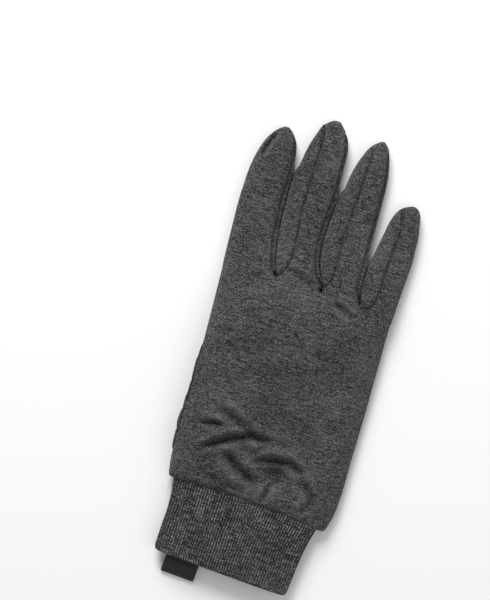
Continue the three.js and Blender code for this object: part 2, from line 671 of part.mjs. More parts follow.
// Hand: one hollow form, cut along its seams into back, palm and three side strips
const handShell = handForm(0).subtract(handForm(FABRIC));
const strips = [
  ["index_middle", FINGERS.index, FINGERS.middle],
  ["middle_ring", FINGERS.middle, FINGERS.ring],
  ["ring_little", FINGERS.ring, FINGERS.little],
].map(([name, left, right]) => ({
  name: "side_strip_" + name,
  piece: prism(stripOutline(left, right), STRIP_LOW_SEAM, SKY),
  room: prism(grown(stripOutline(left, right), SEW_GAP), STRIP_LOW_SEAM - 2 * SEW_GAP, SKY),
}));
const bodyShell = strips.reduce((shell, strip) => shell.subtract(strip.room), handShell);
const hole = thumbHoleOutline();
const backPanel = bodyShell.intersect(slab(SIDE_SEAM_HEIGHT + SEW_GAP, SKY));
const palmPanel = bodyShell
  .intersect(slab(-SKY, SIDE_SEAM_HEIGHT - SEW_GAP))
  .subtract(prism(hole, -SEW_GAP, 2.5 * FABRIC));

// Thumb: a hollow stall that opens upwards into the palm, in two halves
const thumbForm = (inset) => loft(THUMB_SECTIONS.map((row) => thumbSection(row, inset)));
const thumbShell = thumbForm(0)
  .subtract(thumbForm(FABRIC))
  .subtract(prism(hole, THUMB_SEAM_HEIGHT, THUMB_DEPTH + SEW_GAP));
const thumbBack = thumbShell.intersect(slab(-SKY, THUMB_SEAM_HEIGHT - SEW_GAP / 2));
const thumbFront = thumbShell.intersect(slab(THUMB_SEAM_HEIGHT + SEW_GAP / 2, SKY));

// Cuff: a ribbed tube, open at both ends
const cuffOuter = loft(CUFF_SECTIONS.map(ribbedSection));
const pastEnds = [
  { ...CUFF_SECTIONS[0], along: -0.1 },
  ...CUFF_SECTIONS,
  { ...CUFF_SECTIONS.at(-1), along: 1.1 },
];
const cuffHollow = loft(pastEnds.map((row) => cuffSection(row, CUFF_WALL, STEPS_ACROSS.palm)));

const glove = new THREE.Group();
glove.add(
  meshOf("back_panel", draped(backPanel), knit),
  meshOf("palm_panel", draped(palmPanel), knit),
  ...strips.map(({ name, piece }) => meshOf(name, draped(handShell.intersect(piece)), knit)),
  meshOf("thumb_back", geometryOf(thumbBack), knit),
  meshOf("thumb_front", geometryOf(thumbFront), knit),
  meshOf("cuff", geometryOf(cuffOuter.subtract(cuffHollow)), rib),
  meshOf("pull_tab", geometryOf(tapeSolid()), webbing),
);

// The origin is the middle of the glove's footprint
const footprint = new THREE.Box3().setFromObject(glove);
const middle = footprint.getCenter(new THREE.Vector3());
glove.position.set(-middle.x, -middle.y, -footprint.min.z);

export default glove;
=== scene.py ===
"""A heathered knit glove liner for the right hand, lying on its palm on a pale table."""

import logging
import math
from dataclasses import dataclass, field
from enum import Enum

import bpy
import numpy as np
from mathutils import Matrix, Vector
from mathutils.bvhtree import BVHTree


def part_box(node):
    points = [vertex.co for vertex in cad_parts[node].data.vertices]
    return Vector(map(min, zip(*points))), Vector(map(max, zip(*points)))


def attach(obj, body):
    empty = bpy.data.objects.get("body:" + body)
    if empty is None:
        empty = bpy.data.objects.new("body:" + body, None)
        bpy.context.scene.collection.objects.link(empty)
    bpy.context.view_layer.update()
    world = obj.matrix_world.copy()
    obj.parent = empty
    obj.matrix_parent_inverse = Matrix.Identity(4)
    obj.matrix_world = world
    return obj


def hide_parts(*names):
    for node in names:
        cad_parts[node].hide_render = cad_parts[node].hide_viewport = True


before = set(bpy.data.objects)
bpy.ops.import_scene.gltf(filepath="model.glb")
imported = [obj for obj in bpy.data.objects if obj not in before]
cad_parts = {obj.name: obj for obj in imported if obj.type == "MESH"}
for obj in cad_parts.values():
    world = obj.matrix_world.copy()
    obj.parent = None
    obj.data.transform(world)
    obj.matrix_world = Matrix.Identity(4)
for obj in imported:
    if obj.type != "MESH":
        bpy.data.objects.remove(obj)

LOG = logging.getLogger("glove_liner")
MM = 0.001

Piece = bpy.types.Object
Socket = bpy.types.NodeSocket
Rows = list[dict[str, float]]
Shell = tuple[np.ndarray, np.ndarray]
# Height, pattern and size of a set of bumps in the cloth.
Bump = tuple[float, int, float]


def table(columns: str, *rows: tuple[float, ...]) -> Rows:
    """A table from its column names, parted by spaces, and its rows."""
    return [dict(zip(columns.split(), row)) for row in rows]


def ease(t: np.ndarray) -> np.ndarray:
    """Smooth step from 0 to 1."""
    c = np.clip(t, 0.0, 1.0)
    return c * c * (3.0 - 2.0 * c)


def unit(vectors: np.ndarray) -> np.ndarray:
    """The vectors at length 1; those without a length stay zero."""
    return vectors / np.maximum(np.linalg.norm(vectors, axis=1, keepdims=True), 1e-9)


def column(rows: Rows, key: str, along: np.ndarray) -> np.ndarray:
    """A column of a table, smoothly interpolated.

    Args:
        rows: The table, sorted by its column "along".
        key: The column to read.
        along: Where to read it.

    Returns:
        The values there, on a curve through the rows' own values.
    """
    x = np.array([row["along"] for row in rows])
    y = np.array([row[key] for row in rows])
    slopes = np.diff(y) / np.diff(x)
    tangents = np.concatenate([slopes[:1], (slopes[:-1] + slopes[1:]) / 2, slopes[-1:]])
    turning = np.concatenate([[False], slopes[:-1] * slopes[1:] <= 0, [False]])
    tangents[turning] = 0.0
    at = np.clip(along, x[0], x[-1])
    i = np.clip(np.searchsorted(x, at, side="right") - 1, 0, len(x) - 2)
    h = x[i + 1] - x[i]
    t = (at - x[i]) / h
    return (
        (2 * t**3 - 3 * t**2 + 1) * y[i]
        + (t**3 - 2 * t**2 + t) * h * tangents[i]
        + (3 * t**2 - 2 * t**3) * y[i + 1]
        + (t**3 - t**2) * h * tangents[i + 1]
    )


def beside(points: np.ndarray, start: np.ndarray, run: np.ndarray) -> Shell:
    """Each point's place along a straight run in plan, as a share, and its distance from it."""
    share = np.clip(((points[:, :2] - start) @ run) / (run @ run), 0.0, 1.0)
    return share, np.linalg.norm(points[:, :2] - start - share[:, None] * run, axis=1)


def edges_of(faces: np.ndarray) -> np.ndarray:
    """The edges of all triangles, as pairs of points."""
    return np.concatenate([faces[:, [0, 1]], faces[:, [1, 2]], faces[:, [2, 0]]])


@dataclass(frozen=True)
class Plan:
    """The glove's driving sizes in millimetres, as in the solid model."""

    fabric: float = 1.1
    hand_width: float = 100.0
    palm_length: float = 127.5
    palm_depth: float = 12.5
    finger_depth: float = 9.5
    side_seam: float = 4.6
    strip_low_seam: float = 2.6
    knuckle_turn: float = -7.0
    cuff_length: float = 40.0
    seam_bow: float = 2.5
    cuff_lap: float = 2.5
    cuff_width: float = 85.0
    cuff_depth: float = 10.5
    cuff_floor: float = 1.75
    cuff_wall: float = 2.2
    cuff_turn: float = -6.0
    cuff_shift: float = -6.3
    thumb_length: float = 110.0
    thumb_width: float = 31.0
    thumb_depth: float = 7.0
    thumb_seam: float = 3.3
    thumb_lean: float = 43.7
    thumb_heel: tuple[float, float] = (0.08, 0.283)
    drape_run: float = 18.0
    drape_zone: float = 1.5
    thumb_show: float = 5.0
    sew_gap: float = 0.3
    sideways: float = 0.6
    middle_length: float = 89.2
    back_round: float = 2.6
    palm_round: float = 4.2
    floor: float = 0.02

    @property
    def origin(self) -> np.ndarray:
        """Place of the plan's own origin in the row frame, from the middle finger's tip."""
        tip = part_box("back_panel")[1][1] / MM
        return np.array([self.sideways, tip - self.palm_y(1.0) - self.middle_length, 0.0])

    def hand_x(self, share: np.ndarray) -> np.ndarray:
        """Place across the hand."""
        return (share - 0.5) * self.hand_width

    def palm_y(self, share: float) -> float:
        """Place along the palm, from the cuff's seam to the finger roots."""
        return self.cuff_length + share * self.palm_length

    @property
    def cuff_whole(self) -> float:
        """The cuff's length with what is lapped under the hand."""
        return self.cuff_length + self.seam_bow + self.cuff_lap

    @property
    def cuff_axes(self) -> tuple[np.ndarray, np.ndarray]:
        """Directions in plan along the cuff, towards the hand, and across it."""
        turn = math.radians(self.cuff_turn)
        side = np.array([math.cos(turn), math.sin(turn)])
        return np.array([-side[1], side[0]]), side

    @property
    def thumb_axes(self) -> tuple[np.ndarray, np.ndarray, np.ndarray]:
        """The folded thumb's heel in plan, and its directions along and across."""
        heel = np.array([self.hand_x(self.thumb_heel[0]), self.palm_y(self.thumb_heel[1])])
        lean = math.radians(self.thumb_lean)
        along = np.array([math.sin(lean), math.cos(lean)])
        return heel, along, np.array([-along[1], along[0]])

    def on_cuff(self, lengthwise: np.ndarray, across: np.ndarray) -> np.ndarray:
        """A place on the cuff, from its hem and its middle line, in plan."""
        up, side = self.cuff_axes
        slope = math.tan(-math.radians(self.cuff_turn))
        seam = np.array([self.cuff_shift, self.cuff_length - self.cuff_shift * slope])
        step = np.asarray(lengthwise, float)[..., None] - self.cuff_length
        return seam + step * up + np.asarray(across, float)[..., None] * side

    def in_cuff(self, points: np.ndarray) -> np.ndarray:
        """Places in plan, as lengthwise and across on the cuff."""
        up, side = self.cuff_axes
        away = points[..., :2] - self.on_cuff(np.array(0.0), np.array(0.0))
        return np.stack([away @ up, away @ side], axis=-1)


PLAN = Plan()

PALM = table(
    "along left right cuff knuckles depth",
    (-0.02, -0.004, 0.895, 1.0, 0.0, 1.08), (0.03, -0.012, 0.918, 1.0, 0.0, 1.12),
    (0.08, -0.018, 0.938, 0.85, 0.0, 1.08), (0.165, -0.02, 0.951, 0.6, 0.0, 1.0),
    (0.3, -0.016, 0.958, 0.28, 0.0, 1.0), (0.49, -0.006, 0.969, 0.0, 0.0, 1.0),
    (0.68, 0.0, 0.976, 0.0, 0.2, 0.98), (0.81, 0.0, 0.98, 0.0, 0.7, 0.93),
    (0.92, 0.0, 0.984, 0.0, 1.0, 0.8), (0.965, 0.008, 0.978, 0.0, 1.0, 0.6))


def finger_rows(*rows: tuple[float, float, float, float]) -> Rows:
    """A finger's table, from its root to its tip."""
    return table("along left right full", *rows)


@dataclass(frozen=True)
class Finger:
    """One finger: its length from its crotch, how far that lies below the others, its outline."""

    name: str
    length: float
    drop: float
    rows: Rows

    def y(self, along: np.ndarray) -> np.ndarray:
        """Place along the hand."""
        return PLAN.palm_y(1.0) - self.drop + along * self.length


INDEX = Finger("index", 79.5, 0.0, finger_rows(
    (-0.2, 0.02, 0.31, 0.7), (-0.09, 0.008, 0.306, 0.9), (0.0, 0.0, 0.302, 1.0),
    (0.11, 0.0, 0.274, 1.0), (0.34, 0.0, 0.254, 1.0), (0.53, 0.006, 0.253, 1.0),
    (0.69, 0.019, 0.26, 0.98), (0.82, 0.045, 0.257, 0.9), (0.906, 0.076, 0.243, 0.77),
    (0.962, 0.112, 0.216, 0.57), (1.0, 0.15, 0.185, 0.3)))
MIDDLE = Finger("middle", PLAN.middle_length, 0.0, finger_rows(
    (-0.18, 0.292, 0.564, 0.7), (-0.08, 0.296, 0.563, 0.9), (0.0, 0.298, 0.562, 1.0),
    (0.095, 0.283, 0.52, 1.0), (0.241, 0.267, 0.505, 1.0), (0.409, 0.261, 0.513, 1.0),
    (0.555, 0.266, 0.53, 1.0), (0.689, 0.281, 0.53, 0.98), (0.802, 0.301, 0.531, 0.91),
    (0.891, 0.328, 0.517, 0.77), (0.959, 0.357, 0.481, 0.54), (1.0, 0.405, 0.45, 0.3)))
RING = Finger("ring", 84.2, 0.0, finger_rows(
    (-0.2, 0.556, 0.791, 0.7), (-0.09, 0.556, 0.787, 0.9), (0.0, 0.557, 0.77, 1.0),
    (0.11, 0.529, 0.772, 1.0), (0.27, 0.514, 0.774, 1.0), (0.469, 0.528, 0.78, 1.0),
    (0.635, 0.549, 0.782, 0.98), (0.778, 0.573, 0.778, 0.91), (0.885, 0.606, 0.762, 0.77),
    (0.956, 0.64, 0.745, 0.55), (1.0, 0.685, 0.715, 0.3)))
LITTLE = Finger("little", 63.7, 10.0, finger_rows(
    (-0.25, 0.778, 0.964, 0.7), (-0.1, 0.78, 0.978, 0.9), (0.0, 0.782, 0.988, 1.0),
    (0.13, 0.78, 0.995, 1.0), (0.369, 0.784, 1.01, 1.0), (0.542, 0.797, 1.019, 0.97),
    (0.714, 0.82, 1.019, 0.91), (0.84, 0.838, 1.009, 0.79), (0.926, 0.863, 1.002, 0.61),
    (0.973, 0.893, 0.987, 0.43), (1.0, 0.935, 0.965, 0.28)))
FINGERS = (INDEX, MIDDLE, RING, LITTLE)

STRIP_SEAMS = table(
    "along right left",
    (0.03, 0.02, 0.05), (0.1, 0.018, 0.08), (0.3, 0.018, 0.098), (0.6, 0.018, 0.094),
    (0.8, 0.018, 0.072), (0.9, 0.014, 0.042), (0.975, -0.012, -0.012))
# How far the strips' lower end hangs below their seams, as a share of the finger's length.
STRIP_START = 0.045

THUMB = table(
    "along low high full",
    (-0.1, -0.08, 0.1, 0.35), (-0.08, -0.2, 0.22, 0.6), (-0.045, -0.31, 0.33, 0.85),
    (0.01, -0.4, 0.45, 1.0), (0.07, -0.41, 0.62, 1.0), (0.15, -0.3, 0.88, 1.0),
    (0.24, -0.13, 1.05, 1.0), (0.33, -0.02, 1.16, 1.0), (0.47, 0.0, 1.16, 1.0),
    (0.56, 0.0, 1.06, 1.0), (0.68, 0.0, 1.0, 1.0), (0.8, 0.0, 0.96, 0.95),
    (0.88, 0.03, 0.86, 0.84), (0.95, 0.14, 0.76, 0.66), (0.99, 0.3, 0.64, 0.45))

CUFF = table(
    "along left right depth",
    (0.0, -0.446, 0.452, 0.99), (0.3, -0.45, 0.456, 1.0), (0.6, -0.455, 0.466, 1.0),
    (0.82, -0.472, 0.484, 1.0), (1.0, -0.49, 0.5, 1.0))


@dataclass(frozen=True)
class Fold:
    """A crease in the back of the hand along points in plan, in millimetres."""

    line: tuple[tuple[float, float], ...]
    deep: float
    wide: float
    lip: float = 0.45
    fade: float = 0.3
    narrow: float = 0.6
    lip_place: float = 1.8

    def depth(self, points: np.ndarray) -> np.ndarray:
        """How far the crease lowers the cloth at each point; its lips raise it."""
        knots = np.array(self.line, float)
        runs = np.diff(knots, axis=0)
        lengths = np.linalg.norm(runs, axis=1)
        starts = np.concatenate([[0], np.cumsum(lengths)])
        best, place = np.full(len(points), np.inf), np.zeros(len(points))
        for a, run, length, start in zip(knots, runs, lengths, starts):
            t, away = beside(points, a, run)
            nearer = away < best
            best = np.where(nearer, away, best)
            place = np.where(nearer, (start + t * length) / starts[-1], place)
        end = ease(np.minimum(place, 1 - place) / self.fade)
        away = best / (self.wide * (self.narrow + (1 - self.narrow) * end))
        shape = np.exp(-(away**2)) - self.lip * np.exp(-((away - self.lip_place) ** 2))
        return self.deep * end * shape


FOLDS = (
    Fold(((-41, 62), (-34, 67), (-28, 70.5), (-20, 75), (-11, 77.5), (0, 77.5), (5, 76)), 3.4, 2.3),
    Fold(((-37, 91), (-28, 87), (-20, 83), (-12, 80), (-5, 78)), 2.1, 2.4),
    Fold(((-42, 78), (-34, 80), (-26, 80)), 2.6, 1.7),
    Fold(((-27, 68), (-20, 63), (-12, 57), (-5, 54), (2, 54)), 3.0, 2.8),
    Fold(((-9, 62), (-4, 66), (4, 68), (12, 68), (19, 65), (24, 58)), 3.0, 2.2),
    Fold(((-4, 58), (6, 61), (17, 60)), 4.0, 6.0, 0.15, 0.45),
    Fold(((3, 43), (3.6, 48), (4.5, 56)), 2.6, 1.8),
    Fold(((17, 61), (24, 57), (30, 50)), 2.0, 2.4),
    Fold(((31, 56), (28, 49), (23, 41)), 1.6, 2.2),
    Fold(((-32, 52), (-20, 48), (-8, 45)), 1.2, 3.2),
    Fold(((10, 46), (20, 42), (32, 40)), 1.2, 2.8),
    Fold(((-13, 171), (-8, 169), (4, 164)), 1.5, 2.0),
    Fold(((12, 159), (20, 156), (29, 152)), 1.5, 2.0),
    Fold(((-43, 226), (-41.5, 233), (-37, 243)), 2.0, 1.3, 0.7, 0.2),
    Fold(((-46, 128), (-40, 130), (-32, 131)), 0.7, 2.0),
    Fold(((-49, 190), (-44, 188), (-37, 184)), 0.6, 1.8),
    Fold(((-12, 207), (-6, 205), (1, 200)), 0.6, 2.0),
    Fold(((17, 203), (22, 206), (28, 207)), 0.6, 2.0),
    Fold(((37, 186), (42, 188), (48, 189)), 0.6, 1.8),
    Fold(((-34, 105), (-12, 112), (12, 120)), 0.7, 4.5, 0.2),
    Fold(((12, 97), (26, 92), (40, 86)), 0.7, 4.5, 0.2),
    Fold(((-2, 95), (12, 88), (24, 76)), 0.9, 4.0, 0.3),
)


def thumb_frame(points: np.ndarray) -> tuple[np.ndarray, np.ndarray]:
    """Places in plan, as along and across on the folded thumb, in millimetres."""
    heel, run, side = PLAN.thumb_axes
    away = points[..., :2] - heel
    return away @ run, away @ side


def on_thumb(along: np.ndarray, across: np.ndarray) -> np.ndarray:
    """A place on the folded thumb, in plan."""
    heel, run, side = PLAN.thumb_axes
    return heel + along[..., None] * run + across[..., None] * side


def drape(points: np.ndarray) -> np.ndarray:
    """How far the cloth over the folded thumb is raised, in millimetres."""
    along, across = thumb_frame(points)
    share = along / PLAN.thumb_length
    low = column(THUMB, "low", share) * PLAN.thumb_width
    high = column(THUMB, "high", share) * PLAN.thumb_width
    ends = np.maximum(THUMB[0]["along"] * PLAN.thumb_length - along,
                      along - THUMB[-1]["along"] * PLAN.thumb_length)
    out = np.hypot(np.maximum(ends, 0), np.maximum(np.maximum(low - across, across - high), 0))
    back = ease((points[:, 2] - PLAN.drape_zone) / (PLAN.finger_depth - 2 * PLAN.drape_zone))
    under = (PLAN.thumb_depth + 2 * PLAN.sew_gap) * ease(1 - out / PLAN.drape_run)
    over = PLAN.thumb_show * ease(1 - out / (2 * PLAN.drape_run))
    return under + (over - under) * back


# The waves that are added up in a crumple, and the least and greatest share of its size in one.
WAVES = 9
WAVE_SPREAD = (0.7, 1.8)


def crumple(points: np.ndarray, seed: int, size: float) -> np.ndarray:
    """Slow soft unevenness of cloth, between about -1 and 1.

    Args:
        points: Places in millimetres.
        seed: Which pattern.
        size: About how far apart its bumps lie, in millimetres.

    Returns:
        One value for each point.
    """
    chance = np.random.default_rng(seed)
    total = np.zeros(len(points))
    for _ in range(WAVES):
        angle = chance.uniform(0, 2 * math.pi)
        pitch = size * chance.uniform(*WAVE_SPREAD)
        wave = points[:, 0] * math.cos(angle) + points[:, 1] * math.sin(angle)
        total += np.sin(2 * math.pi * wave / pitch + chance.uniform(0, 2 * math.pi))
    return total / (WAVES / 2)


def uneven(points: np.ndarray, *bumps: Bump) -> np.ndarray:
    """Unevenness from the height, the pattern and the size of each set of bumps, added up."""
    return sum(height * crumple(points, seed, size) for height, seed, size in bumps)


# The share of even steps across a section, the rest crowding at its edges, and how much the
# lower half is filled beyond its depth before it is cut flat there.
EVEN_STEPS = 0.45
UNDER_FILL = 1.05


def oval_rings(left: np.ndarray, right: np.ndarray, edge: np.ndarray, top: np.ndarray,
               bottom: np.ndarray, steps: int, back: float = PLAN.back_round,
               palm: float = PLAN.palm_round) -> np.ndarray:
    """Closed soft oval sections between two edge lines in plan.

    Args:
        left: Points of the left edge line.
        right: Points of the right edge line.
        edge: Height of the widest line of each section.
        top: Height of each section over its edge.
        bottom: Depth of each section under its edge.
        steps: How many steps each half of a section has.
        back: Roundness of the upper half.
        palm: Roundness of the lower half.

    Returns:
        An array of sections, points and coordinates.
    """
    u = np.linspace(1, -1, steps + 1)[:-1]
    s = EVEN_STEPS * u + (1 - EVEN_STEPS) * np.sin(math.pi * u / 2)
    over = np.sqrt(np.maximum(0, 1 - np.abs(s) ** back))
    under = -np.minimum(1, UNDER_FILL * np.sqrt(np.maximum(0, 1 - np.abs(s) ** palm)))
    place = np.concatenate([s, -s])
    lift = np.concatenate([over, under])
    middle, half = (left + right) / 2, (right - left) / 2
    plan = middle[:, None, :] + place[None, :, None] * half[:, None, :]
    height = np.where(lift >= 0, lift * top[:, None], lift * bottom[:, None])
    return np.concatenate([plan, (edge[:, None] + height)[..., None]], axis=2)


def tube(rings: np.ndarray, capped: bool = True) -> Shell:
    """Points and faces of a tube through rings, with fans over its two ends."""
    count, around = rings.shape[:2]
    points = rings.reshape(-1, 3)
    r, i = np.meshgrid(np.arange(count - 1), np.arange(around), indexing="ij")
    j = (i + 1) % around
    here, next_ring = r * around, (r + 1) * around
    quads = np.stack([here + i, here + j, next_ring + j, next_ring + i], -1)
    triangles = np.concatenate([quads[..., half].reshape(-1, 3) for half in ([0, 1, 2], [0, 2, 3])])
    if not capped:
        return points, triangles
    points = np.concatenate([points, rings[0].mean(0)[None], rings[-1].mean(0)[None]])
    k = np.arange(around)
    first = np.stack([np.full(around, len(points) - 2), (k + 1) % around, k], -1)
    last = (count - 1) * around
    end = np.stack([np.full(around, len(points) - 1), last + k, last + (k + 1) % around], -1)
    return points, np.concatenate([triangles, first, end])


def make_object(name: str, points: np.ndarray, faces: np.ndarray) -> Piece:
    """A mesh object from points in millimetres of the plan.

    Args:
        name: The piece's name.
        points: Its points.
        faces: Its triangles.

    Returns:
        The linked object, at the origin, in metres.
    """
    mesh = bpy.data.meshes.new(name)
    mesh.from_pydata(((points + PLAN.origin) * MM).tolist(), [], faces.tolist())
    mesh.validate()
    mesh.polygons.foreach_set("use_smooth", [True] * len(mesh.polygons))
    piece = bpy.data.objects.new(name, mesh)
    bpy.context.scene.collection.objects.link(piece)
    return piece


def note_painted_shade(piece: Piece, depths: np.ndarray) -> None:
    """Stores painted shade: how deep in a furrow each point lies, for the knit to darken there."""
    store = piece.data.attributes.new("painted_shade", "FLOAT", "POINT")
    store.data.foreach_set("value", depths.astype(np.float32))


def plain(piece: Piece) -> Piece:
    """The piece with its modifiers turned into a plain mesh."""
    graph = bpy.context.evaluated_depsgraph_get()
    mesh = bpy.data.meshes.new_from_object(piece.evaluated_get(graph))
    piece.modifiers.clear()
    piece.data = mesh
    return piece


def shell_of(piece: Piece) -> Shell:
    """A piece's points in millimetres of the plan, and its triangles."""
    mesh = piece.data
    mesh.calc_loop_triangles()
    points = np.empty(len(mesh.vertices) * 3)
    mesh.vertices.foreach_get("co", points)
    faces = np.empty(len(mesh.loop_triangles) * 3, dtype=np.int64)
    mesh.loop_triangles.foreach_get("vertices", faces)
    return points.reshape(-1, 3) / MM - PLAN.origin, faces.reshape(-1, 3)


class Course(Enum):
    """Which way the rows of knitting run on a piece, as a turn in degrees."""

    ACROSS_HAND = 0.0
    ACROSS_THUMB = -PLAN.thumb_lean
    ACROSS_CUFF = PLAN.cuff_turn


class Nodes:
    """Short hand for building one material's nodes."""

    def __init__(self, name: str) -> None:
        """Starts a material with its own shader."""
        self.material = bpy.data.materials.new(name)
        self.material.use_nodes = True
        self.tree = self.material.node_tree
        self.shader = self.tree.nodes["Principled BSDF"]

    def shade(self, **values: object) -> None:
        """Sets the shader's inputs by their names, with underscores for spaces."""
        for key, value in values.items():
            self.shader.inputs[key.replace("_", " ")].default_value = value

    def add(self, kind: str, **values: object) -> bpy.types.Node:
        """A node with properties, and inputs by their names with underscores for spaces."""
        node = self.tree.nodes.new(kind)
        for key, value in values.items():
            if hasattr(node, key):
                setattr(node, key, value)
            else:
                node.inputs[key.replace("_", " ")].default_value = value
        return node

    def join(self, source: Socket, target: Socket) -> None:
        """A link between two sockets."""
        self.tree.links.new(source, target)

    def maths(self, operation: str, *inputs: object) -> Socket:
        """The result of a Math node on sockets and numbers."""
        node = self.add("ShaderNodeMath", operation=operation)
        for socket, value in zip(node.inputs, inputs):
            if isinstance(value, Socket):
                self.join(value, socket)
            else:
                socket.default_value = value
        return node.outputs[0]

    def ripple(self, place: Socket, pitch: float) -> Socket:
        """A sine wave along a place in metres, with its pitch in millimetres."""
        return self.maths("SINE", self.maths("MULTIPLY", place, 2 * math.pi / (pitch * MM)))


@dataclass(frozen=True)
class KnitFinish:
    """Heathered fine-gauge wool knit."""

    name: str
    dark: float = 0.007
    light: float = 0.165
    tint: tuple[float, float, float] = (0.985, 0.985, 1.03)
    wale: float = 0.95
    course: float = 0.75
    relief: float = 0.28
    course_way: Course = Course.ACROSS_HAND
    # Strength of the painted shade noted on the piece: darker in furrows, lighter where the noted
    # value is below zero.
    painted_shade: float = 0.0
    ramp: tuple[float, float, float] = (0.455, 0.545, 0.645)
    middle: float = 0.33
    fine_share: float = 0.68
    row_share: float = 0.32
    slow_share: float = 0.1
    course_share: float = 0.45
    fuzz: float = 2.4

    def material(self) -> bpy.types.Material:
        """The material: speckled strands in rows, with painted shade in furrows where it is given,
        and loops as relief.
        """
        nodes = Nodes(self.name)
        place = nodes.add("ShaderNodeTexCoord")
        turn = nodes.add("ShaderNodeMapping")
        turn.inputs["Rotation"].default_value = (0, 0, math.radians(-self.course_way.value))
        nodes.join(place.outputs["Object"], turn.inputs["Vector"])
        colour = self._melange(nodes, turn.outputs[0])
        nodes.join(colour, nodes.shader.inputs["Base Color"])
        nodes.join(self._loops(nodes, turn.outputs[0]), nodes.shader.inputs["Normal"])
        nodes.shade(Roughness=0.95, Specular_IOR_Level=0.12, Sheen_Weight=0.16, Sheen_Roughness=0.5,
                    Sheen_Tint=(0.8, 0.8, 0.85, 1.0))
        return nodes.material

    def _speckle(self, nodes: Nodes, place: Socket, size: float,
                 long: float) -> Socket:
        """Noise of strands about size millimetres thick and long times that along the course."""
        stretch = nodes.add("ShaderNodeMapping")
        stretch.inputs["Scale"].default_value = (1 / long, 1, 1)
        nodes.join(place, stretch.inputs["Vector"])
        noise = nodes.add("ShaderNodeTexNoise", Scale=1 / (size * MM), Detail=2.0, Roughness=0.6)
        nodes.join(stretch.outputs[0], noise.inputs["Vector"])
        return noise.outputs["Fac"]

    def _melange(self, nodes: Nodes, place: Socket) -> Socket:
        """Colour of mixed dark and light strands, with the piece's painted shade taken off."""
        fine = self._speckle(nodes, place, size=0.5, long=1.6)
        rows = self._speckle(nodes, place, size=0.9, long=6.0)
        slow = self._speckle(nodes, place, size=22.0, long=1.0)
        mixed = nodes.maths("MULTIPLY_ADD", rows, self.row_share,
                            nodes.maths("MULTIPLY", fine, self.fine_share))
        mixed = nodes.maths("MULTIPLY_ADD", slow, self.slow_share, mixed)
        if self.painted_shade:
            # Painted shade: the noted furrow values darken the strand mix.
            groove = nodes.add("ShaderNodeAttribute", attribute_name="painted_shade").outputs["Fac"]
            mixed = nodes.maths("MULTIPLY_ADD", groove, -self.painted_shade, mixed)
        ramp = nodes.add("ShaderNodeValToRGB")
        stops = ramp.color_ramp.elements
        stops[0].position, stops[1].position = self.ramp[0], self.ramp[2]
        stops.new(self.ramp[1])
        shades = (self.dark, self.middle * (self.dark + self.light), self.light)
        for stop, value in zip(stops, shades):
            stop.color = tuple(value * part for part in self.tint) + (1.0,)
        nodes.join(mixed, ramp.inputs["Fac"])
        return ramp.outputs["Color"]

    def _loops(self, nodes: Nodes, place: Socket) -> Socket:
        """Relief of the loops: wales along the piece, courses across it, and stray fibres."""
        parts = nodes.add("ShaderNodeSeparateXYZ")
        nodes.join(place, parts.inputs[0])
        wave = nodes.ripple(parts.outputs["X"], self.wale)
        row = nodes.ripple(parts.outputs["Y"], self.course)
        knit = nodes.maths("MULTIPLY_ADD", row, self.course_share, wave)
        fibres = self._speckle(nodes, place, size=0.45, long=2.0)
        height = nodes.maths("MULTIPLY_ADD", fibres, self.fuzz, knit)
        bump = nodes.add("ShaderNodeBump", Strength=0.8, Distance=self.relief * MM)
        nodes.join(height, bump.inputs["Height"])
        return bump.outputs["Normal"]


@dataclass(frozen=True)
class TapeFinish:
    """Matt black twill tape."""

    name: str
    colour: tuple[float, float, float] = (0.026, 0.027, 0.03)
    twill: float = 1.5
    relief: float = 0.45
    slant: float = 1.6
    # Colour in the twill's hollows and on its ridges, as shares of the tape's own: painted shade and
    # painted highlight.
    shades: tuple[float, float] = (0.35, 2.4)

    def material(self) -> bpy.types.Material:
        """The material: slanted twill lines as relief, and a faint change of colour along them that
        is painted shade between the ridges and painted highlight on them.
        """
        nodes = Nodes(self.name)
        place = nodes.add("ShaderNodeTexCoord")
        parts = nodes.add("ShaderNodeSeparateXYZ")
        nodes.join(place.outputs["Object"], parts.inputs[0])
        slant = nodes.maths("MULTIPLY_ADD", parts.outputs["X"], self.slant, parts.outputs["Y"])
        line = nodes.ripple(slant, self.twill)
        bump = nodes.add("ShaderNodeBump", Strength=0.7, Distance=self.relief * MM)
        nodes.join(line, bump.inputs["Height"])
        nodes.join(bump.outputs["Normal"], nodes.shader.inputs["Normal"])
        # Painted shade and highlight: the colour follows the twill's relief, darker in its hollows
        # and lighter on its ridges.
        ramp = nodes.add("ShaderNodeValToRGB")
        for stop, share in zip(ramp.color_ramp.elements, self.shades):
            stop.color = tuple(share * part for part in self.colour) + (1.0,)
        nodes.join(nodes.maths("MULTIPLY_ADD", line, 0.5, 0.5), ramp.inputs["Fac"])
        nodes.join(ramp.outputs["Color"], nodes.shader.inputs["Base Color"])
        nodes.shade(Roughness=0.75, Specular_IOR_Level=0.3)
        return nodes.material


def dress(piece: Piece, material: bpy.types.Material, slot: str,
          *nodes: str) -> Piece:
    """Finishes a piece and fixes it to the object.

    Args:
        piece: The finished piece.
        material: What it is made of.
        slot: The record's material slot; not used.
        nodes: The solids that it stands for.

    Returns:
        The same piece.
    """
    piece.data.materials.clear()
    piece.data.materials.append(material)
    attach(piece, "root")
    if nodes:
        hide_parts(*nodes)
    LOG.info("%s: %d faces", piece.name, len(piece.data.polygons))
    return piece


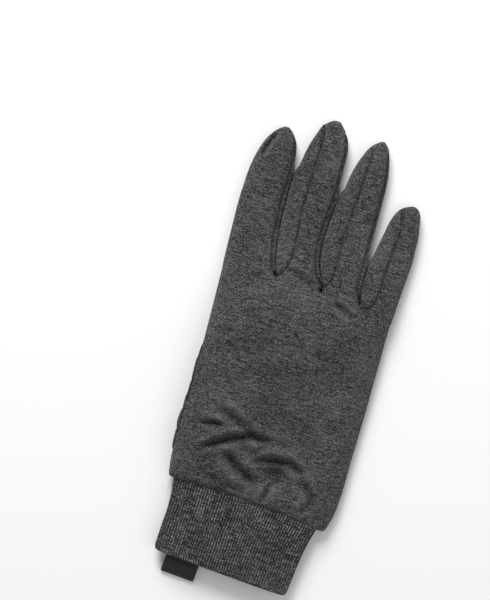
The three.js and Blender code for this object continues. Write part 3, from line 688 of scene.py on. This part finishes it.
def signed_distance(points: np.ndarray, outline: np.ndarray) -> np.ndarray:
    """Distance in plan from a closed outline, negative inside it."""
    best = np.full(len(points), np.inf)
    inside = np.zeros(len(points), dtype=bool)
    for a, b in zip(outline, np.roll(outline, -1, axis=0)):
        best = np.minimum(best, beside(points, a, b - a)[1])
        rises = (a[1] > points[:, 1]) != (b[1] > points[:, 1])
        with np.errstate(divide="ignore", invalid="ignore"):
            cross = (b[0] - a[0]) * (points[:, 1] - a[1]) / (b[1] - a[1]) + a[0]
        inside ^= rises & (points[:, 0] < cross)
    return np.where(inside, -best, best)


def facing_edges(lower: Finger, upper: Finger, y: np.ndarray) -> list[np.ndarray]:
    """The edges with which two fingers face each other, as shares of the hand's width."""
    return [column(finger.rows, key, (y - finger.y(0.0)) / finger.length)
            for finger, key in ((lower, "right"), (upper, "left"))]


def slit_line(lower: Finger, upper: Finger, y: np.ndarray) -> np.ndarray:
    """Where the slit between two fingers runs across the hand, at each place along it."""
    return PLAN.hand_x(sum(facing_edges(lower, upper, y)) / 2)


def strip_outline(lower: Finger, upper: Finger) -> tuple[np.ndarray, np.ndarray, np.ndarray]:
    """Outline in plan of the side strip between two fingers.

    Args:
        lower: The finger on the index side.
        upper: The finger on the little side.

    Returns:
        The closed outline, the seam on the first finger and the seam on the second.
    """
    along = np.linspace(STRIP_SEAMS[0]["along"], STRIP_SEAMS[-1]["along"], 40)
    one = np.stack([PLAN.hand_x(column(lower.rows, "right", along)
                                - column(STRIP_SEAMS, "right", along)), lower.y(along)], -1)
    two = np.stack([PLAN.hand_x(column(upper.rows, "left", along)
                                + column(STRIP_SEAMS, "left", along)), upper.y(along)], -1)
    t = np.linspace(0, 1, 9)[1:-1, None]
    hang = STRIP_START * upper.length * np.sin(math.pi * t)
    root = one[0] + t * (two[0] - one[0]) + hang * np.array([0.0, -1.0])
    return np.concatenate([root, two, one[::-1]]), one, two


def snap(points: np.ndarray, faces: np.ndarray, value: np.ndarray) -> tuple[np.ndarray, np.ndarray]:
    """Moves the points beside a line onto it, so that faces can be parted along it.

    Args:
        points: The mesh's points.
        faces: Its triangles.
        value: Signed distance from the line at each point.

    Returns:
        The moved points, and their new distances.
    """
    edges = edges_of(faces)
    edges = edges[value[edges[:, 0]] * value[edges[:, 1]] < 0]
    t = value[edges[:, 0]] / (value[edges[:, 0]] - value[edges[:, 1]])
    crossing = points[edges[:, 0]] + t[:, None] * (points[edges[:, 1]] - points[edges[:, 0]])
    near = np.where(t < 0.5, edges[:, 0], edges[:, 1])
    total, count = np.zeros_like(points), np.zeros(len(points))
    np.add.at(total, near, crossing)
    np.add.at(count, near, 1)
    moved, left = points.copy(), value.copy()
    hit = count > 0
    moved[hit] = total[hit] / count[hit, None]
    left[hit] = 0.0
    return moved, left


def part_fans(faces: np.ndarray, count: int) -> tuple[np.ndarray, np.ndarray]:
    """Gives each fan of faces that meets others in one point only a point of its own.

    Args:
        faces: Triangles of one panel.
        count: How many points they use.

    Returns:
        The triangles, and for each point of theirs the old point that it copies.
    """
    edges, uses = np.unique(np.sort(edges_of(faces), axis=1), axis=0, return_counts=True)
    ends = np.bincount(edges[uses == 1].ravel(), minlength=count)
    parted, copied = faces.copy(), list(range(count))
    for point in np.flatnonzero(ends > 2):
        fans: list[tuple[list[int], set[int]]] = []
        for row in np.flatnonzero((faces == point).any(1)):
            rows, rim = [row], set(faces[row].tolist()) - {point}
            apart = []
            for fan in fans:
                if fan[1] & rim:
                    rows, rim = rows + fan[0], rim | fan[1]
                else:
                    apart.append(fan)
            fans = apart + [(rows, rim)]
        for rows, _ in fans[1:]:
            parted[rows] = np.where(parted[rows] == point, len(copied), parted[rows])
            copied.append(point)
    return parted, np.array(copied)


@dataclass
class Hand:
    """The knitted hand: back, palm and three side strips, with its sizes in millimetres."""

    finish: KnitFinish
    cell: float = 0.8
    relax: float = 0.6
    relax_rounds: int = 6
    palm_root: float = 0.03
    groove: float = 0.75
    groove_width: float = 0.9
    groove_rise: float = 2.0
    side_groove: float = 0.8
    side_groove_width: float = 1.1
    # Strength of the painted shade in the seam grooves.
    seam_painted_shade: float = 0.9
    slit: float = 0.85
    slit_closing: float = 0.95
    slit_run: float = 6.0
    below_crotch: float = 4.0
    touch_gap: float = 2.0
    touch_fade: float = 0.5
    # Width and strength of the painted shade along the slits where the fingers touch.
    touch_width: float = 1.1
    slit_painted_shade: float = 3.0
    roll: float = 1.7
    roll_run: float = 3.2
    # Crease depth at which the painted shade in the creases is full.
    deepest_crease: float = 3.5
    back_from: float = 5.0
    back_run: float = 3.5
    cuff_clear: float = 2.0
    cuff_fade: float = 7.0
    cuff_crease: float = 0.25
    strip_reach: float = 4.0
    bumps: tuple[Bump, ...] = ((0.30, 5, 26), (0.16, 9, 11))
    side_bumps: Bump = (0.16, 3, 24)
    seams: list[np.ndarray] = field(default_factory=list)
    creases: np.ndarray = field(default_factory=lambda: np.zeros(0))
    # Painted shade at each point: along the slits where fingers touch and in the seam grooves.
    shade: np.ndarray = field(default_factory=lambda: np.zeros(0))
    surface: BVHTree | None = None

    def _palm(self) -> Shell:
        """The body of the hand as a closed form that starts below the cuff's seam."""
        along = np.linspace(PALM[0]["along"] - self.palm_root, PALM[-1]["along"], 90)
        slant = np.tan(np.radians(column(PALM, "cuff", along) * PLAN.cuff_turn
                                  + column(PALM, "knuckles", along) * PLAN.knuckle_turn))
        edge = []
        for key in ("left", "right"):
            x = PLAN.hand_x(column(PALM, key, along))
            edge.append(np.stack([x, PLAN.palm_y(0) + along * PLAN.palm_length + x * slant], -1))
        top = column(PALM, "depth", along) * PLAN.palm_depth - PLAN.side_seam
        flat = np.full(len(along), PLAN.side_seam)
        return tube(oval_rings(edge[0], edge[1], flat, top, flat, steps=60))

    def _finger(self, finger: Finger) -> Shell:
        """One finger as a closed form, rooted inside the palm and clear of its neighbours."""
        root = finger.rows[0]["along"]
        along = root + (1 - root) * np.sin(np.linspace(0, math.pi / 2, 70))
        full = column(finger.rows, "full", along)
        ends = [np.stack([PLAN.hand_x(column(finger.rows, key, along)), finger.y(along)], -1)
                for key in ("left", "right")]
        place = FINGERS.index(finger)
        if place > 0:
            apart = slit_line(FINGERS[place - 1], finger, ends[0][:, 1]) + self.slit
            ends[0][:, 0] = np.maximum(ends[0][:, 0], apart)
        if place < len(FINGERS) - 1:
            apart = slit_line(finger, FINGERS[place + 1], ends[1][:, 1]) - self.slit
            ends[1][:, 0] = np.minimum(ends[1][:, 0], apart)
        seam = np.full(len(along), PLAN.side_seam)
        return tube(oval_rings(ends[0], ends[1], seam, full * (PLAN.finger_depth - PLAN.side_seam),
                               full * PLAN.side_seam, steps=26))

    def _fused(self) -> Shell:
        """All forms fused into one skin of even cells."""
        points, faces, start = [], [], 0
        for part, triangles in [self._palm(), *map(self._finger, FINGERS)]:
            points.append(part)
            faces.append(triangles + start)
            start += len(part)
        whole = make_object("hand_form", np.concatenate(points), np.concatenate(faces))
        remesh = whole.modifiers.new("fuse", "REMESH")
        remesh.mode = "VOXEL"
        remesh.voxel_size = self.cell * MM
        relax = whole.modifiers.new("relax", "SMOOTH")
        relax.factor, relax.iterations = self.relax, self.relax_rounds
        shell = shell_of(plain(whole))
        bpy.data.objects.remove(whole)
        return shell

    def _close_slits(self, points: np.ndarray) -> np.ndarray:
        """Brings the fingers back together, so that narrow slits are left between them, and notes
        painted shade along the slits where the fingers touch.
        """
        closed = points.copy()
        self.shade = np.zeros(len(points))
        for lower, upper in zip(FINGERS, FINGERS[1:]):
            edges = facing_edges(lower, upper, points[:, 1])
            away = points[:, 0] - PLAN.hand_x(sum(edges) / 2)
            gap = PLAN.hand_width * (edges[1] - edges[0])
            touching = ease((self.touch_gap - gap) / self.touch_fade)
            beyond = ease((points[:, 1] - upper.y(0.0) + self.below_crotch) / self.slit_run)
            near = ease(1 - (np.abs(away) - self.slit) / self.slit_run)
            shift = np.clip(self.slit - gap / 2, 0, self.slit) + self.slit_closing * touching
            shift *= near * beyond
            # Painted shade along the slit where the fingers touch.
            dark = self.slit_painted_shade * np.exp(-((away / self.touch_width) ** 2))
            self.shade = np.maximum(self.shade, dark * touching * beyond)
            closed[:, 0] -= np.sign(away) * np.minimum(shift, np.abs(away))
        return closed

    def _lie(self, points: np.ndarray) -> np.ndarray:
        """The flat form as it lies: over the thumb, creased and a little uneven."""
        lying = points.copy()
        lying[:, 2] += drape(points)
        back = ease((points[:, 2] - self.back_from) / self.back_run)
        above_cuff = PLAN.in_cuff(points)[:, 0] - PLAN.cuff_length - self.cuff_clear
        share = self.cuff_crease + (1 - self.cuff_crease) * ease(above_cuff / self.cuff_fade)
        self.creases = sum(fold.depth(points) for fold in FOLDS) * back * share
        lying[:, 2] -= self.creases
        lying[:, 2] += back * uneven(points, *self.bumps)
        side = 1 - np.abs(2 * back - 1)
        height, seed, size = self.side_bumps
        lying[:, 0] += height * side * crumple(points, seed, size)
        return lying

    def build(self) -> list[Piece]:
        """Makes the five panels of the hand and records their seams."""
        points, faces = self._fused()
        points = self._close_slits(points)
        edge = PLAN.in_cuff(points)
        bow = PLAN.seam_bow * np.maximum(0, 1 - (edge[:, 1] / (PLAN.cuff_width / 2)) ** 2)
        points, over_cuff = snap(points, faces, edge[:, 0] - PLAN.cuff_length - bow)
        strips = []
        grooves = np.zeros(len(points))
        for lower, upper in zip(FINGERS, FINGERS[1:]):
            outline, one, two = strip_outline(lower, upper)
            self.seams += [one, two]
            points, apart = snap(points, faces, signed_distance(points, outline))
            low = points[:, 2] - PLAN.strip_low_seam
            seam = np.exp(-((apart / self.groove_width) ** 2)) * ease(low / self.groove_rise)
            grooves = np.maximum(grooves, seam)
            low = np.where(np.abs(apart) < self.strip_reach, low, 1.0)
            strips.append((f"side_strip_{lower.name}_{upper.name}", apart, low))
        points, above = snap(points, faces, points[:, 2] - PLAN.side_seam)
        seam = self.side_groove * np.exp(-((above / self.side_groove_width) ** 2))
        grooves = np.maximum(grooves, seam)
        lying = self._lie(points)
        curl = np.clip(1 - over_cuff / self.roll_run, 0, 1)
        rolled = self.roll * (1 - np.sqrt(1 - curl**2))
        # Painted shade in the seam grooves.
        self.shade += self.seam_painted_shade * grooves
        lying = self._sink(lying, faces, np.maximum(self.groove * grooves, rolled))
        self.surface = BVHTree.FromPolygons(((lying + PLAN.origin) * MM).tolist(), faces.tolist())
        kept = over_cuff[faces].sum(1) > 0
        taken = ~kept
        made = []
        for name, apart, low in strips:
            mine = (apart[faces].sum(1) < 0) & (low[faces].sum(1) > 0) & ~taken
            taken |= mine
            made.append(self._panel(name, lying, faces[mine]))
        back = (above[faces].sum(1) > 0) & ~taken
        made.append(self._panel("back_panel", lying, faces[back]))
        made.append(self._panel("palm_panel", lying, faces[~back & ~taken]))
        return made

    def _sink(self, points: np.ndarray, faces: np.ndarray, deep: np.ndarray) -> np.ndarray:
        """Pulls the cloth in along its own normals and keeps it above the table."""
        corner = points[faces]
        flat = np.cross(corner[:, 1] - corner[:, 0], corner[:, 2] - corner[:, 0])
        normals = np.zeros_like(points)
        for k in range(3):
            np.add.at(normals, faces[:, k], flat)
        sunk = points - unit(normals) * deep[:, None]
        sunk[:, 2] = np.maximum(sunk[:, 2], PLAN.floor)
        return sunk

    def _panel(self, name: str, points: np.ndarray, faces: np.ndarray) -> Piece:
        """One panel of the hand, with the cloth's thickness turned inwards."""
        used, inverse = np.unique(faces, return_inverse=True)
        parted, copied = part_fans(inverse.reshape(-1, 3), len(used))
        used = used[copied]
        piece = make_object(name + "_knit", points[used], parted)
        # Painted shade: darker in the creases, painted light on their lips, plus the painted shade
        # of the slits and seam grooves.
        crease = np.clip(self.creases[used] / self.deepest_crease, -0.5, 1)
        note_painted_shade(piece, crease + self.shade[used])
        wall = piece.modifiers.new("cloth", "SOLIDIFY")
        wall.thickness = PLAN.fabric * MM
        wall.offset = -1.0
        wall.use_even_offset = False
        return dress(plain(piece), self.finish.material(), "knit_fabric", name)


@dataclass
class Thumb:
    """The thumb's stall, folded flat under the palm, with its sizes in millimetres."""

    finish: KnitFinish
    groove: float = 0.5
    groove_width: float = 0.7
    underside: float = 0.4
    bumps: tuple[Bump, ...] = ((0.22, 21, 16), (0.12, 22, 8))

    def build(self) -> Piece:
        """Makes the thumb as one skin with a seam round its edge."""
        first, last = THUMB[0]["along"], THUMB[-1]["along"]
        share = first + (last - first) * (1 - np.cos(np.linspace(0, math.pi, 110))) / 2
        along = share * PLAN.thumb_length
        left = on_thumb(along, column(THUMB, "high", share) * PLAN.thumb_width)
        right = on_thumb(along, column(THUMB, "low", share) * PLAN.thumb_width)
        full = column(THUMB, "full", share)
        seam = np.full(len(along), PLAN.thumb_seam)
        rings = oval_rings(left, right, seam, full * (PLAN.thumb_depth - PLAN.thumb_seam),
                           full * PLAN.thumb_seam, steps=44)
        flat, faces = tube(rings)
        crease = uneven(flat, *self.bumps)
        pull = self.groove * np.exp(-(((flat[:, 2] - PLAN.thumb_seam) / self.groove_width) ** 2))
        middle = np.repeat(rings.mean(1), rings.shape[1], axis=0)
        middle = np.concatenate([middle, rings[0].mean(0)[None], rings[-1].mean(0)[None]])
        inwards = unit(middle - flat)
        points = flat + inwards * pull[:, None]
        points[:, 2] += np.where(flat[:, 2] < self.underside, np.maximum(crease, 0), 0.0)
        piece = make_object("thumb_knit", points, faces[:, ::-1])
        # Painted shade in the seam groove round the thumb's edge.
        note_painted_shade(piece, pull / self.groove)
        return dress(piece, self.finish.material(), "knit_fabric", "thumb_back", "thumb_front")


@dataclass
class Cuff:
    """The ribbed cuff, folded double at its hem, with its sizes in millimetres."""

    finish: KnitFinish
    ribs: int = 110
    per_rib: int = 8
    rib_depth: float = 0.7
    rib_middle: float = 0.6
    rib_sharpness: float = 0.75
    inner_rib: float = 0.2
    hem_rib: float = 0.42
    inner_phase: float = 0.1
    sway: tuple[tuple[float, float, float], ...] = ((0.10, 5.0, 0.0), (0.06, 2.1, 1.0))
    hem_start: float = 2.0
    inner_start: float = 3.0
    hem_outside: tuple[float, ...] = (1.2, 0.6)
    hem_turn: tuple[tuple[float, float], ...] = (
        (0.15, 0.35), (0.0, 1.1), (0.15, 1.85), (0.6, 2.2))
    hem_corner: float = 4.0
    corner_share: float = 0.45
    upper_round: float = 3.2
    lower_round: float = 9.0
    uneven_from: float = 6.0
    bumps: Bump = (0.25, 31, 30)
    # Painted shade of each section: darker in the furrows between ribs, less on the ribs.
    rib_painted_shade: list[np.ndarray] = field(default_factory=list)

    def _section(self, lengthwise: float, inset: float, count: int) -> np.ndarray:
        """Evenly spaced points round the cuff at one place along it."""
        share = np.array([np.clip(lengthwise / PLAN.cuff_whole, 0, 1)])
        half = PLAN.cuff_depth / 2
        curl = max(0.0, 1 - lengthwise / self.hem_corner)
        corner = self.corner_share * self.hem_corner * (1 - math.sqrt(1 - curl**2))
        ends = []
        for key, sign in (("left", 1), ("right", -1)):
            across = column(CUFF, key, share) * PLAN.cuff_width + sign * (inset + corner)
            ends.append(PLAN.on_cuff(np.array([lengthwise]), across))
        edge = np.array([PLAN.cuff_floor + half])
        depth = column(CUFF, "depth", share) * half - inset
        ring = oval_rings(ends[0], ends[1], edge, depth, depth, 400, self.upper_round,
                          self.lower_round)[0]
        closed = np.concatenate([ring, ring[:1]])
        length = np.concatenate([[0], np.cumsum(np.linalg.norm(np.diff(closed, axis=0), axis=1))])
        at = np.linspace(0, length[-1], count + 1)[:-1]
        return np.stack([np.interp(at, length, closed[:, k]) for k in range(3)], -1)

    def _ribbed(self, ring: np.ndarray, depth: float, wobble: float) -> np.ndarray:
        """A section with ribs standing out of it; painted shade is noted in the furrows between
        them.
        """
        run = np.roll(ring, -1, axis=0) - np.roll(ring, 1, axis=0)
        out = unit(np.cross(run, np.append(PLAN.cuff_axes[0], 0.0)))
        out *= np.sign(((ring - ring.mean(0)) * out).sum(1, keepdims=True))
        phase = np.arange(len(ring)) / self.per_rib + wobble
        wave = np.abs(np.sin(math.pi * phase)) ** self.rib_sharpness - self.rib_middle
        # Painted shade: greater in the furrows, less on the ribs.
        self.rib_painted_shade.append(self.rib_middle - wave)
        return ring + out * (depth * wave)[:, None]

    def build(self) -> Piece:
        """Makes the cuff as one closed double wall."""
        count = self.ribs * self.per_rib
        rings = []
        outside = np.linspace(PLAN.cuff_whole, self.hem_start, 60)
        for lengthwise in (*outside, *self.hem_outside):
            sway = sum(share * math.sin(lengthwise / run + start) for share, run, start in self.sway)
            ring = self._section(lengthwise, 0.0, count)
            ring[:, 2] += np.where(ring[:, 2] > self.uneven_from, uneven(ring, self.bumps), 0)
            rings.append(self._ribbed(ring, self.rib_depth, sway))
        for lengthwise, inset in self.hem_turn:
            ring = self._section(lengthwise, inset, count)
            rings.append(self._ribbed(ring, self.hem_rib, self.inner_phase))
        for lengthwise in np.linspace(self.inner_start, PLAN.cuff_whole, 16):
            ring = self._section(lengthwise, PLAN.cuff_wall, count)
            rings.append(self._ribbed(ring, self.inner_rib, self.inner_phase))
        rings.append(rings[0])
        points, faces = tube(np.array(rings), capped=False)
        piece = make_object("cuff_rib", points, faces)
        note_painted_shade(piece, np.concatenate(self.rib_painted_shade + self.rib_painted_shade[:1]))
        weld = piece.modifiers.new("close", "WELD")
        weld.merge_threshold = 0.01 * MM
        return dress(plain(piece), self.finish.material(), "rib_knit", "cuff")


@dataclass
class PullTab:
    """The pull tab, a tape under the cuff that is folded round the hem; in millimetres."""

    finish: TapeFinish
    width: float = 19.0
    thickness: float = 0.9
    reach: float = 10.0
    tuck: float = 12.0
    place: float = -21.0
    lie: float = 0.5
    fold_radius: float = 0.95
    inner_rise: float = 0.08
    climb: float = 7.5
    seam_gap: float = 0.3
    fold_gap: float = 0.4
    edge_round: float = 0.35
    edge_least: float = 0.12
    stitch_inset: float = 1.4
    stitch_ends: float = 1.0
    stitch_height: float = 0.13

    def centreline(self) -> np.ndarray:
        """The tape's path as lengthwise and height, from the seam round the fold."""
        low, radius = self.lie, self.fold_radius
        inside = (PLAN.cuff_floor + self.inner_rise * PLAN.cuff_depth + PLAN.cuff_wall
                  + PLAN.sew_gap + self.lie)
        turn = np.linspace(-math.pi / 2, -3 * math.pi / 2, 16)
        fold = np.stack([-self.reach + radius + radius * np.cos(turn),
                         low + radius + radius * np.sin(turn)], -1)
        under = np.linspace(PLAN.cuff_length - self.seam_gap,
                            -self.reach + radius + self.fold_gap, 40)
        start = np.stack([under, np.full(len(under), low)], -1)
        t = np.linspace(0.06, 1, 26)[:, None]
        rise = fold[-1] + np.concatenate([t * self.climb, ease(t) * (inside - fold[-1][1])], 1)
        end = np.linspace(rise[-1][0] + 1, self.tuck, 12)
        rest = np.stack([end, np.full(len(end), inside)], -1)
        return np.concatenate([start, fold, rise, rest])

    def edge_lines(self, offset: float) -> list[np.ndarray]:
        """The lines of stitches along the tape's two edges, under the cuff.

        Args:
            offset: How far the stitches are shifted along the tape, in millimetres.

        Returns:
            Points of each line in metres, in the row frame.
        """
        lengthwise = np.linspace(PLAN.cuff_length - self.stitch_ends - offset,
                                 self.stitch_ends - offset, 40)
        height = np.full(len(lengthwise), self.stitch_height)
        lines = []
        for side in (-1, 1):
            across = self.place + side * (self.width / 2 - self.stitch_inset)
            plan = PLAN.on_cuff(lengthwise, np.full(len(lengthwise), across))
            lines.append((np.column_stack([plan, height]) + PLAN.origin) * MM)
        return lines

    def build(self) -> Piece:
        """Makes the tape with softly rounded long edges."""
        line = self.centreline()
        run = unit(np.gradient(line, axis=0))
        normal = np.stack([-run[:, 1], run[:, 0]], -1)
        half = self.width / 2
        one_way = np.linspace(-half, half, 24)
        across = np.concatenate([one_way, np.linspace(half, -half, len(one_way))])
        edge = np.sqrt(np.clip((half - np.abs(across)) / self.edge_round, self.edge_least, 1.0))
        side = np.repeat([0.5, -0.5], len(one_way)) * self.thickness * edge
        rings = []
        for at, out in zip(line, normal):
            place = at[None] + side[:, None] * out[None]
            plan = PLAN.on_cuff(place[:, 0], self.place + across)
            rings.append(np.column_stack([plan, place[:, 1]]))
        points, faces = tube(np.array(rings))
        points[:, 2] = np.maximum(points[:, 2], PLAN.floor)
        piece = make_object("pull_tab_tape", points, faces)
        turned = piece.modifiers.new("smooth", "WEIGHTED_NORMAL")
        turned.keep_sharp = True
        return dress(plain(piece), self.finish.material(), "tape", "pull_tab")


@dataclass(frozen=True)
class StitchTree:
    """Geometry nodes that lay short threads along a line."""

    name: str
    radius: float = 0.16
    sides: int = 6

    def group(self) -> bpy.types.NodeTree:
        """The tree, with inputs for pitch, length, slant and thread."""
        tree = bpy.data.node_groups.new(self.name, "GeometryNodeTree")
        for label, kind in (("Line", "Geometry"), ("Pitch", "Float"), ("Stitch length", "Float"),
                            ("Slant", "Float"), ("Crosswise", "Float"), ("Thread", "Material")):
            tree.interface.new_socket(label, in_out="INPUT", socket_type="NodeSocket" + kind)
        tree.interface.new_socket("Stitches", in_out="OUTPUT", socket_type="NodeSocketGeometry")
        new, link = tree.nodes.new, tree.links.new
        given, result = new("NodeGroupInput"), new("NodeGroupOutput")
        curve, resample = new("GeometryNodeMeshToCurve"), new("GeometryNodeResampleCurve")
        resample.mode = "LENGTH"
        link(given.outputs["Line"], curve.inputs["Mesh"])
        link(curve.outputs[0], resample.inputs["Curve"])
        link(given.outputs["Pitch"], resample.inputs["Length"])
        place, tangent = new("GeometryNodeInstanceOnPoints"), new("GeometryNodeInputTangent")
        align = new("FunctionNodeAlignEulerToVector")
        align.axis = "Z"
        link(tangent.outputs[0], align.inputs["Vector"])
        stitch = new("GeometryNodeMeshCylinder")
        stitch.fill_type = "TRIANGLE_FAN"
        stitch.inputs["Vertices"].default_value = self.sides
        stitch.inputs["Radius"].default_value = self.radius * MM
        link(given.outputs["Stitch length"], stitch.inputs["Depth"])
        sway = new("FunctionNodeRotateEuler")
        sway.space = "OBJECT"
        turn = new("ShaderNodeCombineXYZ")
        link(given.outputs["Slant"], turn.inputs["X"])
        link(given.outputs["Crosswise"], turn.inputs["Y"])
        link(align.outputs[0], sway.inputs[0])
        link(turn.outputs[0], sway.inputs["Rotate By"])
        link(resample.outputs[0], place.inputs["Points"])
        link(stitch.outputs["Mesh"], place.inputs["Instance"])
        link(sway.outputs[0], place.inputs["Rotation"])
        real, paint = new("GeometryNodeRealizeInstances"), new("GeometryNodeSetMaterial")
        link(place.outputs[0], real.inputs[0])
        link(real.outputs[0], paint.inputs["Geometry"])
        link(given.outputs["Thread"], paint.inputs["Material"])
        link(paint.outputs[0], result.inputs[0])
        return tree


@dataclass
class SeamThreads:
    """The visible stitches along the seams."""

    tree: bpy.types.NodeTree
    thread: bpy.types.Material

    def lay(self, name: str, lines: list[np.ndarray], pitch: float, length: float, slant: float,
            crosswise: float, slot: str) -> Piece:
        """Lays stitches along lines.

        Args:
            name: The piece's name.
            lines: Points of each line in metres, in the row frame.
            pitch: From one stitch to the next, in millimetres.
            length: Length of one stitch, in millimetres.
            slant: How far each stitch dips out of the cloth, in radians.
            crosswise: Turn of each stitch against the line, within the cloth, in radians.
            slot: The record's material slot.

        Returns:
            The piece.
        """
        mesh = bpy.data.meshes.new(name)
        points = np.concatenate(lines)
        edges, start = [], 0
        for line in lines:
            edges += [(start + i, start + i + 1) for i in range(len(line) - 1)]
            start += len(line)
        mesh.from_pydata(points.tolist(), edges, [])
        piece = bpy.data.objects.new(name, mesh)
        bpy.context.scene.collection.objects.link(piece)
        modifier = piece.modifiers.new("stitches", "NODES")
        modifier.node_group = self.tree
        sockets = {item.name: item.identifier for item in self.tree.interface.items_tree
                   if item.in_out == "INPUT"}
        for label, value in (("Pitch", pitch * MM), ("Stitch length", length * MM),
                             ("Slant", slant), ("Crosswise", crosswise), ("Thread", self.thread)):
            modifier[sockets[label]] = value
        return dress(plain(piece), self.thread, slot)


# Where the rays that lay a line on the cloth start, in metres, how far the cloth has to face up
# to be met, and the fewest points of a line that gets stitches.
RAY_FROM = 0.05
FACING_UP = 0.2
FEWEST_POINTS = 4


def drop_on(surface: BVHTree, line: np.ndarray, over: float) -> np.ndarray:
    """A line in plan, laid on top of a surface.

    Args:
        surface: What it lies on, in metres.
        line: Its points in plan, in millimetres.
        over: How far above the surface it lies, in millimetres.

    Returns:
        The points that meet the surface, in metres of the row frame.
    """
    laid = []
    for x, y in line:
        start = Vector(((x + PLAN.origin[0]) * MM, (y + PLAN.origin[1]) * MM, RAY_FROM))
        place, normal, _, _ = surface.ray_cast(start, Vector((0, 0, -1)))
        if place is not None and normal.z > FACING_UP:
            laid.append(place + Vector((0, 0, over * MM)))
    return np.array([tuple(p) for p in laid])


@dataclass
class Studio:
    """Camera, lights and table."""

    view_height: float = 0.330
    lens: float = 90.0
    sensor: float = 24.0
    lean: float = 14.0
    centre: tuple[float, float] = (-0.0327, 0.1489)
    table_half: float = 2500.0

    def build(self) -> None:
        """Sets up the view from straight above and the soft light."""
        scene = bpy.context.scene
        camera = bpy.data.cameras.new("camera")
        camera.lens, camera.sensor_fit, camera.sensor_height = self.lens, "VERTICAL", self.sensor
        camera.clip_end = 20
        stand = bpy.data.objects.new("camera", camera)
        distance = self.view_height * self.lens / self.sensor
        middle = np.array([*self.centre]) + PLAN.origin[:2] * MM
        stand.location = (middle[0], middle[1], distance)
        stand.rotation_euler = (0, 0, math.radians(self.lean))
        scene.collection.objects.link(stand)
        scene.camera = stand
        self._light("key", place=(-0.5, 1.15, 0.95), size=0.8, power=26.0)
        self._light("fill", place=(0.9, -0.4, 1.3), size=1.6, power=5.0)
        world = bpy.data.worlds.new("studio")
        world.use_nodes = True
        sky = world.node_tree.nodes["Background"].inputs
        sky["Color"].default_value, sky["Strength"].default_value = (1, 1, 1, 1), 0.4
        scene.world = world
        scene.view_settings.view_transform = "Standard"
        corners = np.array([(-1, -1, 0), (1, -1, 0), (1, 1, 0), (-1, 1, 0)]) * self.table_half
        table = make_object("table", corners, np.array([[0, 1, 2], [0, 2, 3]]))
        nodes = Nodes("table")
        nodes.shade(Base_Color=(0.9, 0.9, 0.9, 1), Roughness=0.9)
        table.data.materials.append(nodes.material)

    def _light(self, name: str, place: tuple[float, float, float], size: float,
               power: float) -> None:
        """One soft square light that faces the glove."""
        light = bpy.data.lights.new(name, "AREA")
        light.size, light.energy = size, power
        lamp = bpy.data.objects.new(name, light)
        lamp.location = place
        lamp.rotation_euler = Vector(place).to_track_quat("Z", "Y").to_euler()
        bpy.context.scene.collection.objects.link(lamp)


def main() -> None:
    """Builds the glove liner piece by piece."""
    logging.basicConfig(level=logging.INFO, format="%(name)s: %(message)s")
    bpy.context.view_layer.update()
    Studio().build()
    hand = Hand(KnitFinish("hand_knit", painted_shade=0.075))
    hand.build()
    Thumb(KnitFinish("thumb_knit_finish", painted_shade=0.06,
                     course_way=Course.ACROSS_THUMB)).build()
    Cuff(KnitFinish("cuff_knit", dark=0.010, light=0.28, wale=1.55, relief=0.12, painted_shade=0.12,
                    course_way=Course.ACROSS_CUFF)).build()
    tab = PullTab(TapeFinish("tape"))
    tab.build()
    threads = SeamThreads(StitchTree("stitch_row").group(),
                          KnitFinish("thread", dark=0.02, light=0.06, relief=0.05).material())
    lines = [drop_on(hand.surface, seam, over=0.02) for seam in hand.seams]
    threads.lay("strip_stitches", [line for line in lines if len(line) >= FEWEST_POINTS],
                pitch=1.9, length=1.3, slant=0.35, crosswise=0.0, slot="knit_fabric")
    for name, offset, crosswise in (("tape_stitches_out", 0.0, 0.6),
                                    ("tape_stitches_back", 1.1, -0.6)):
        threads.lay(name, tab.edge_lines(offset), pitch=2.2, length=2.5, slant=0.0,
                    crosswise=crosswise, slot="tape")


if __name__ == "__main__":
    main()
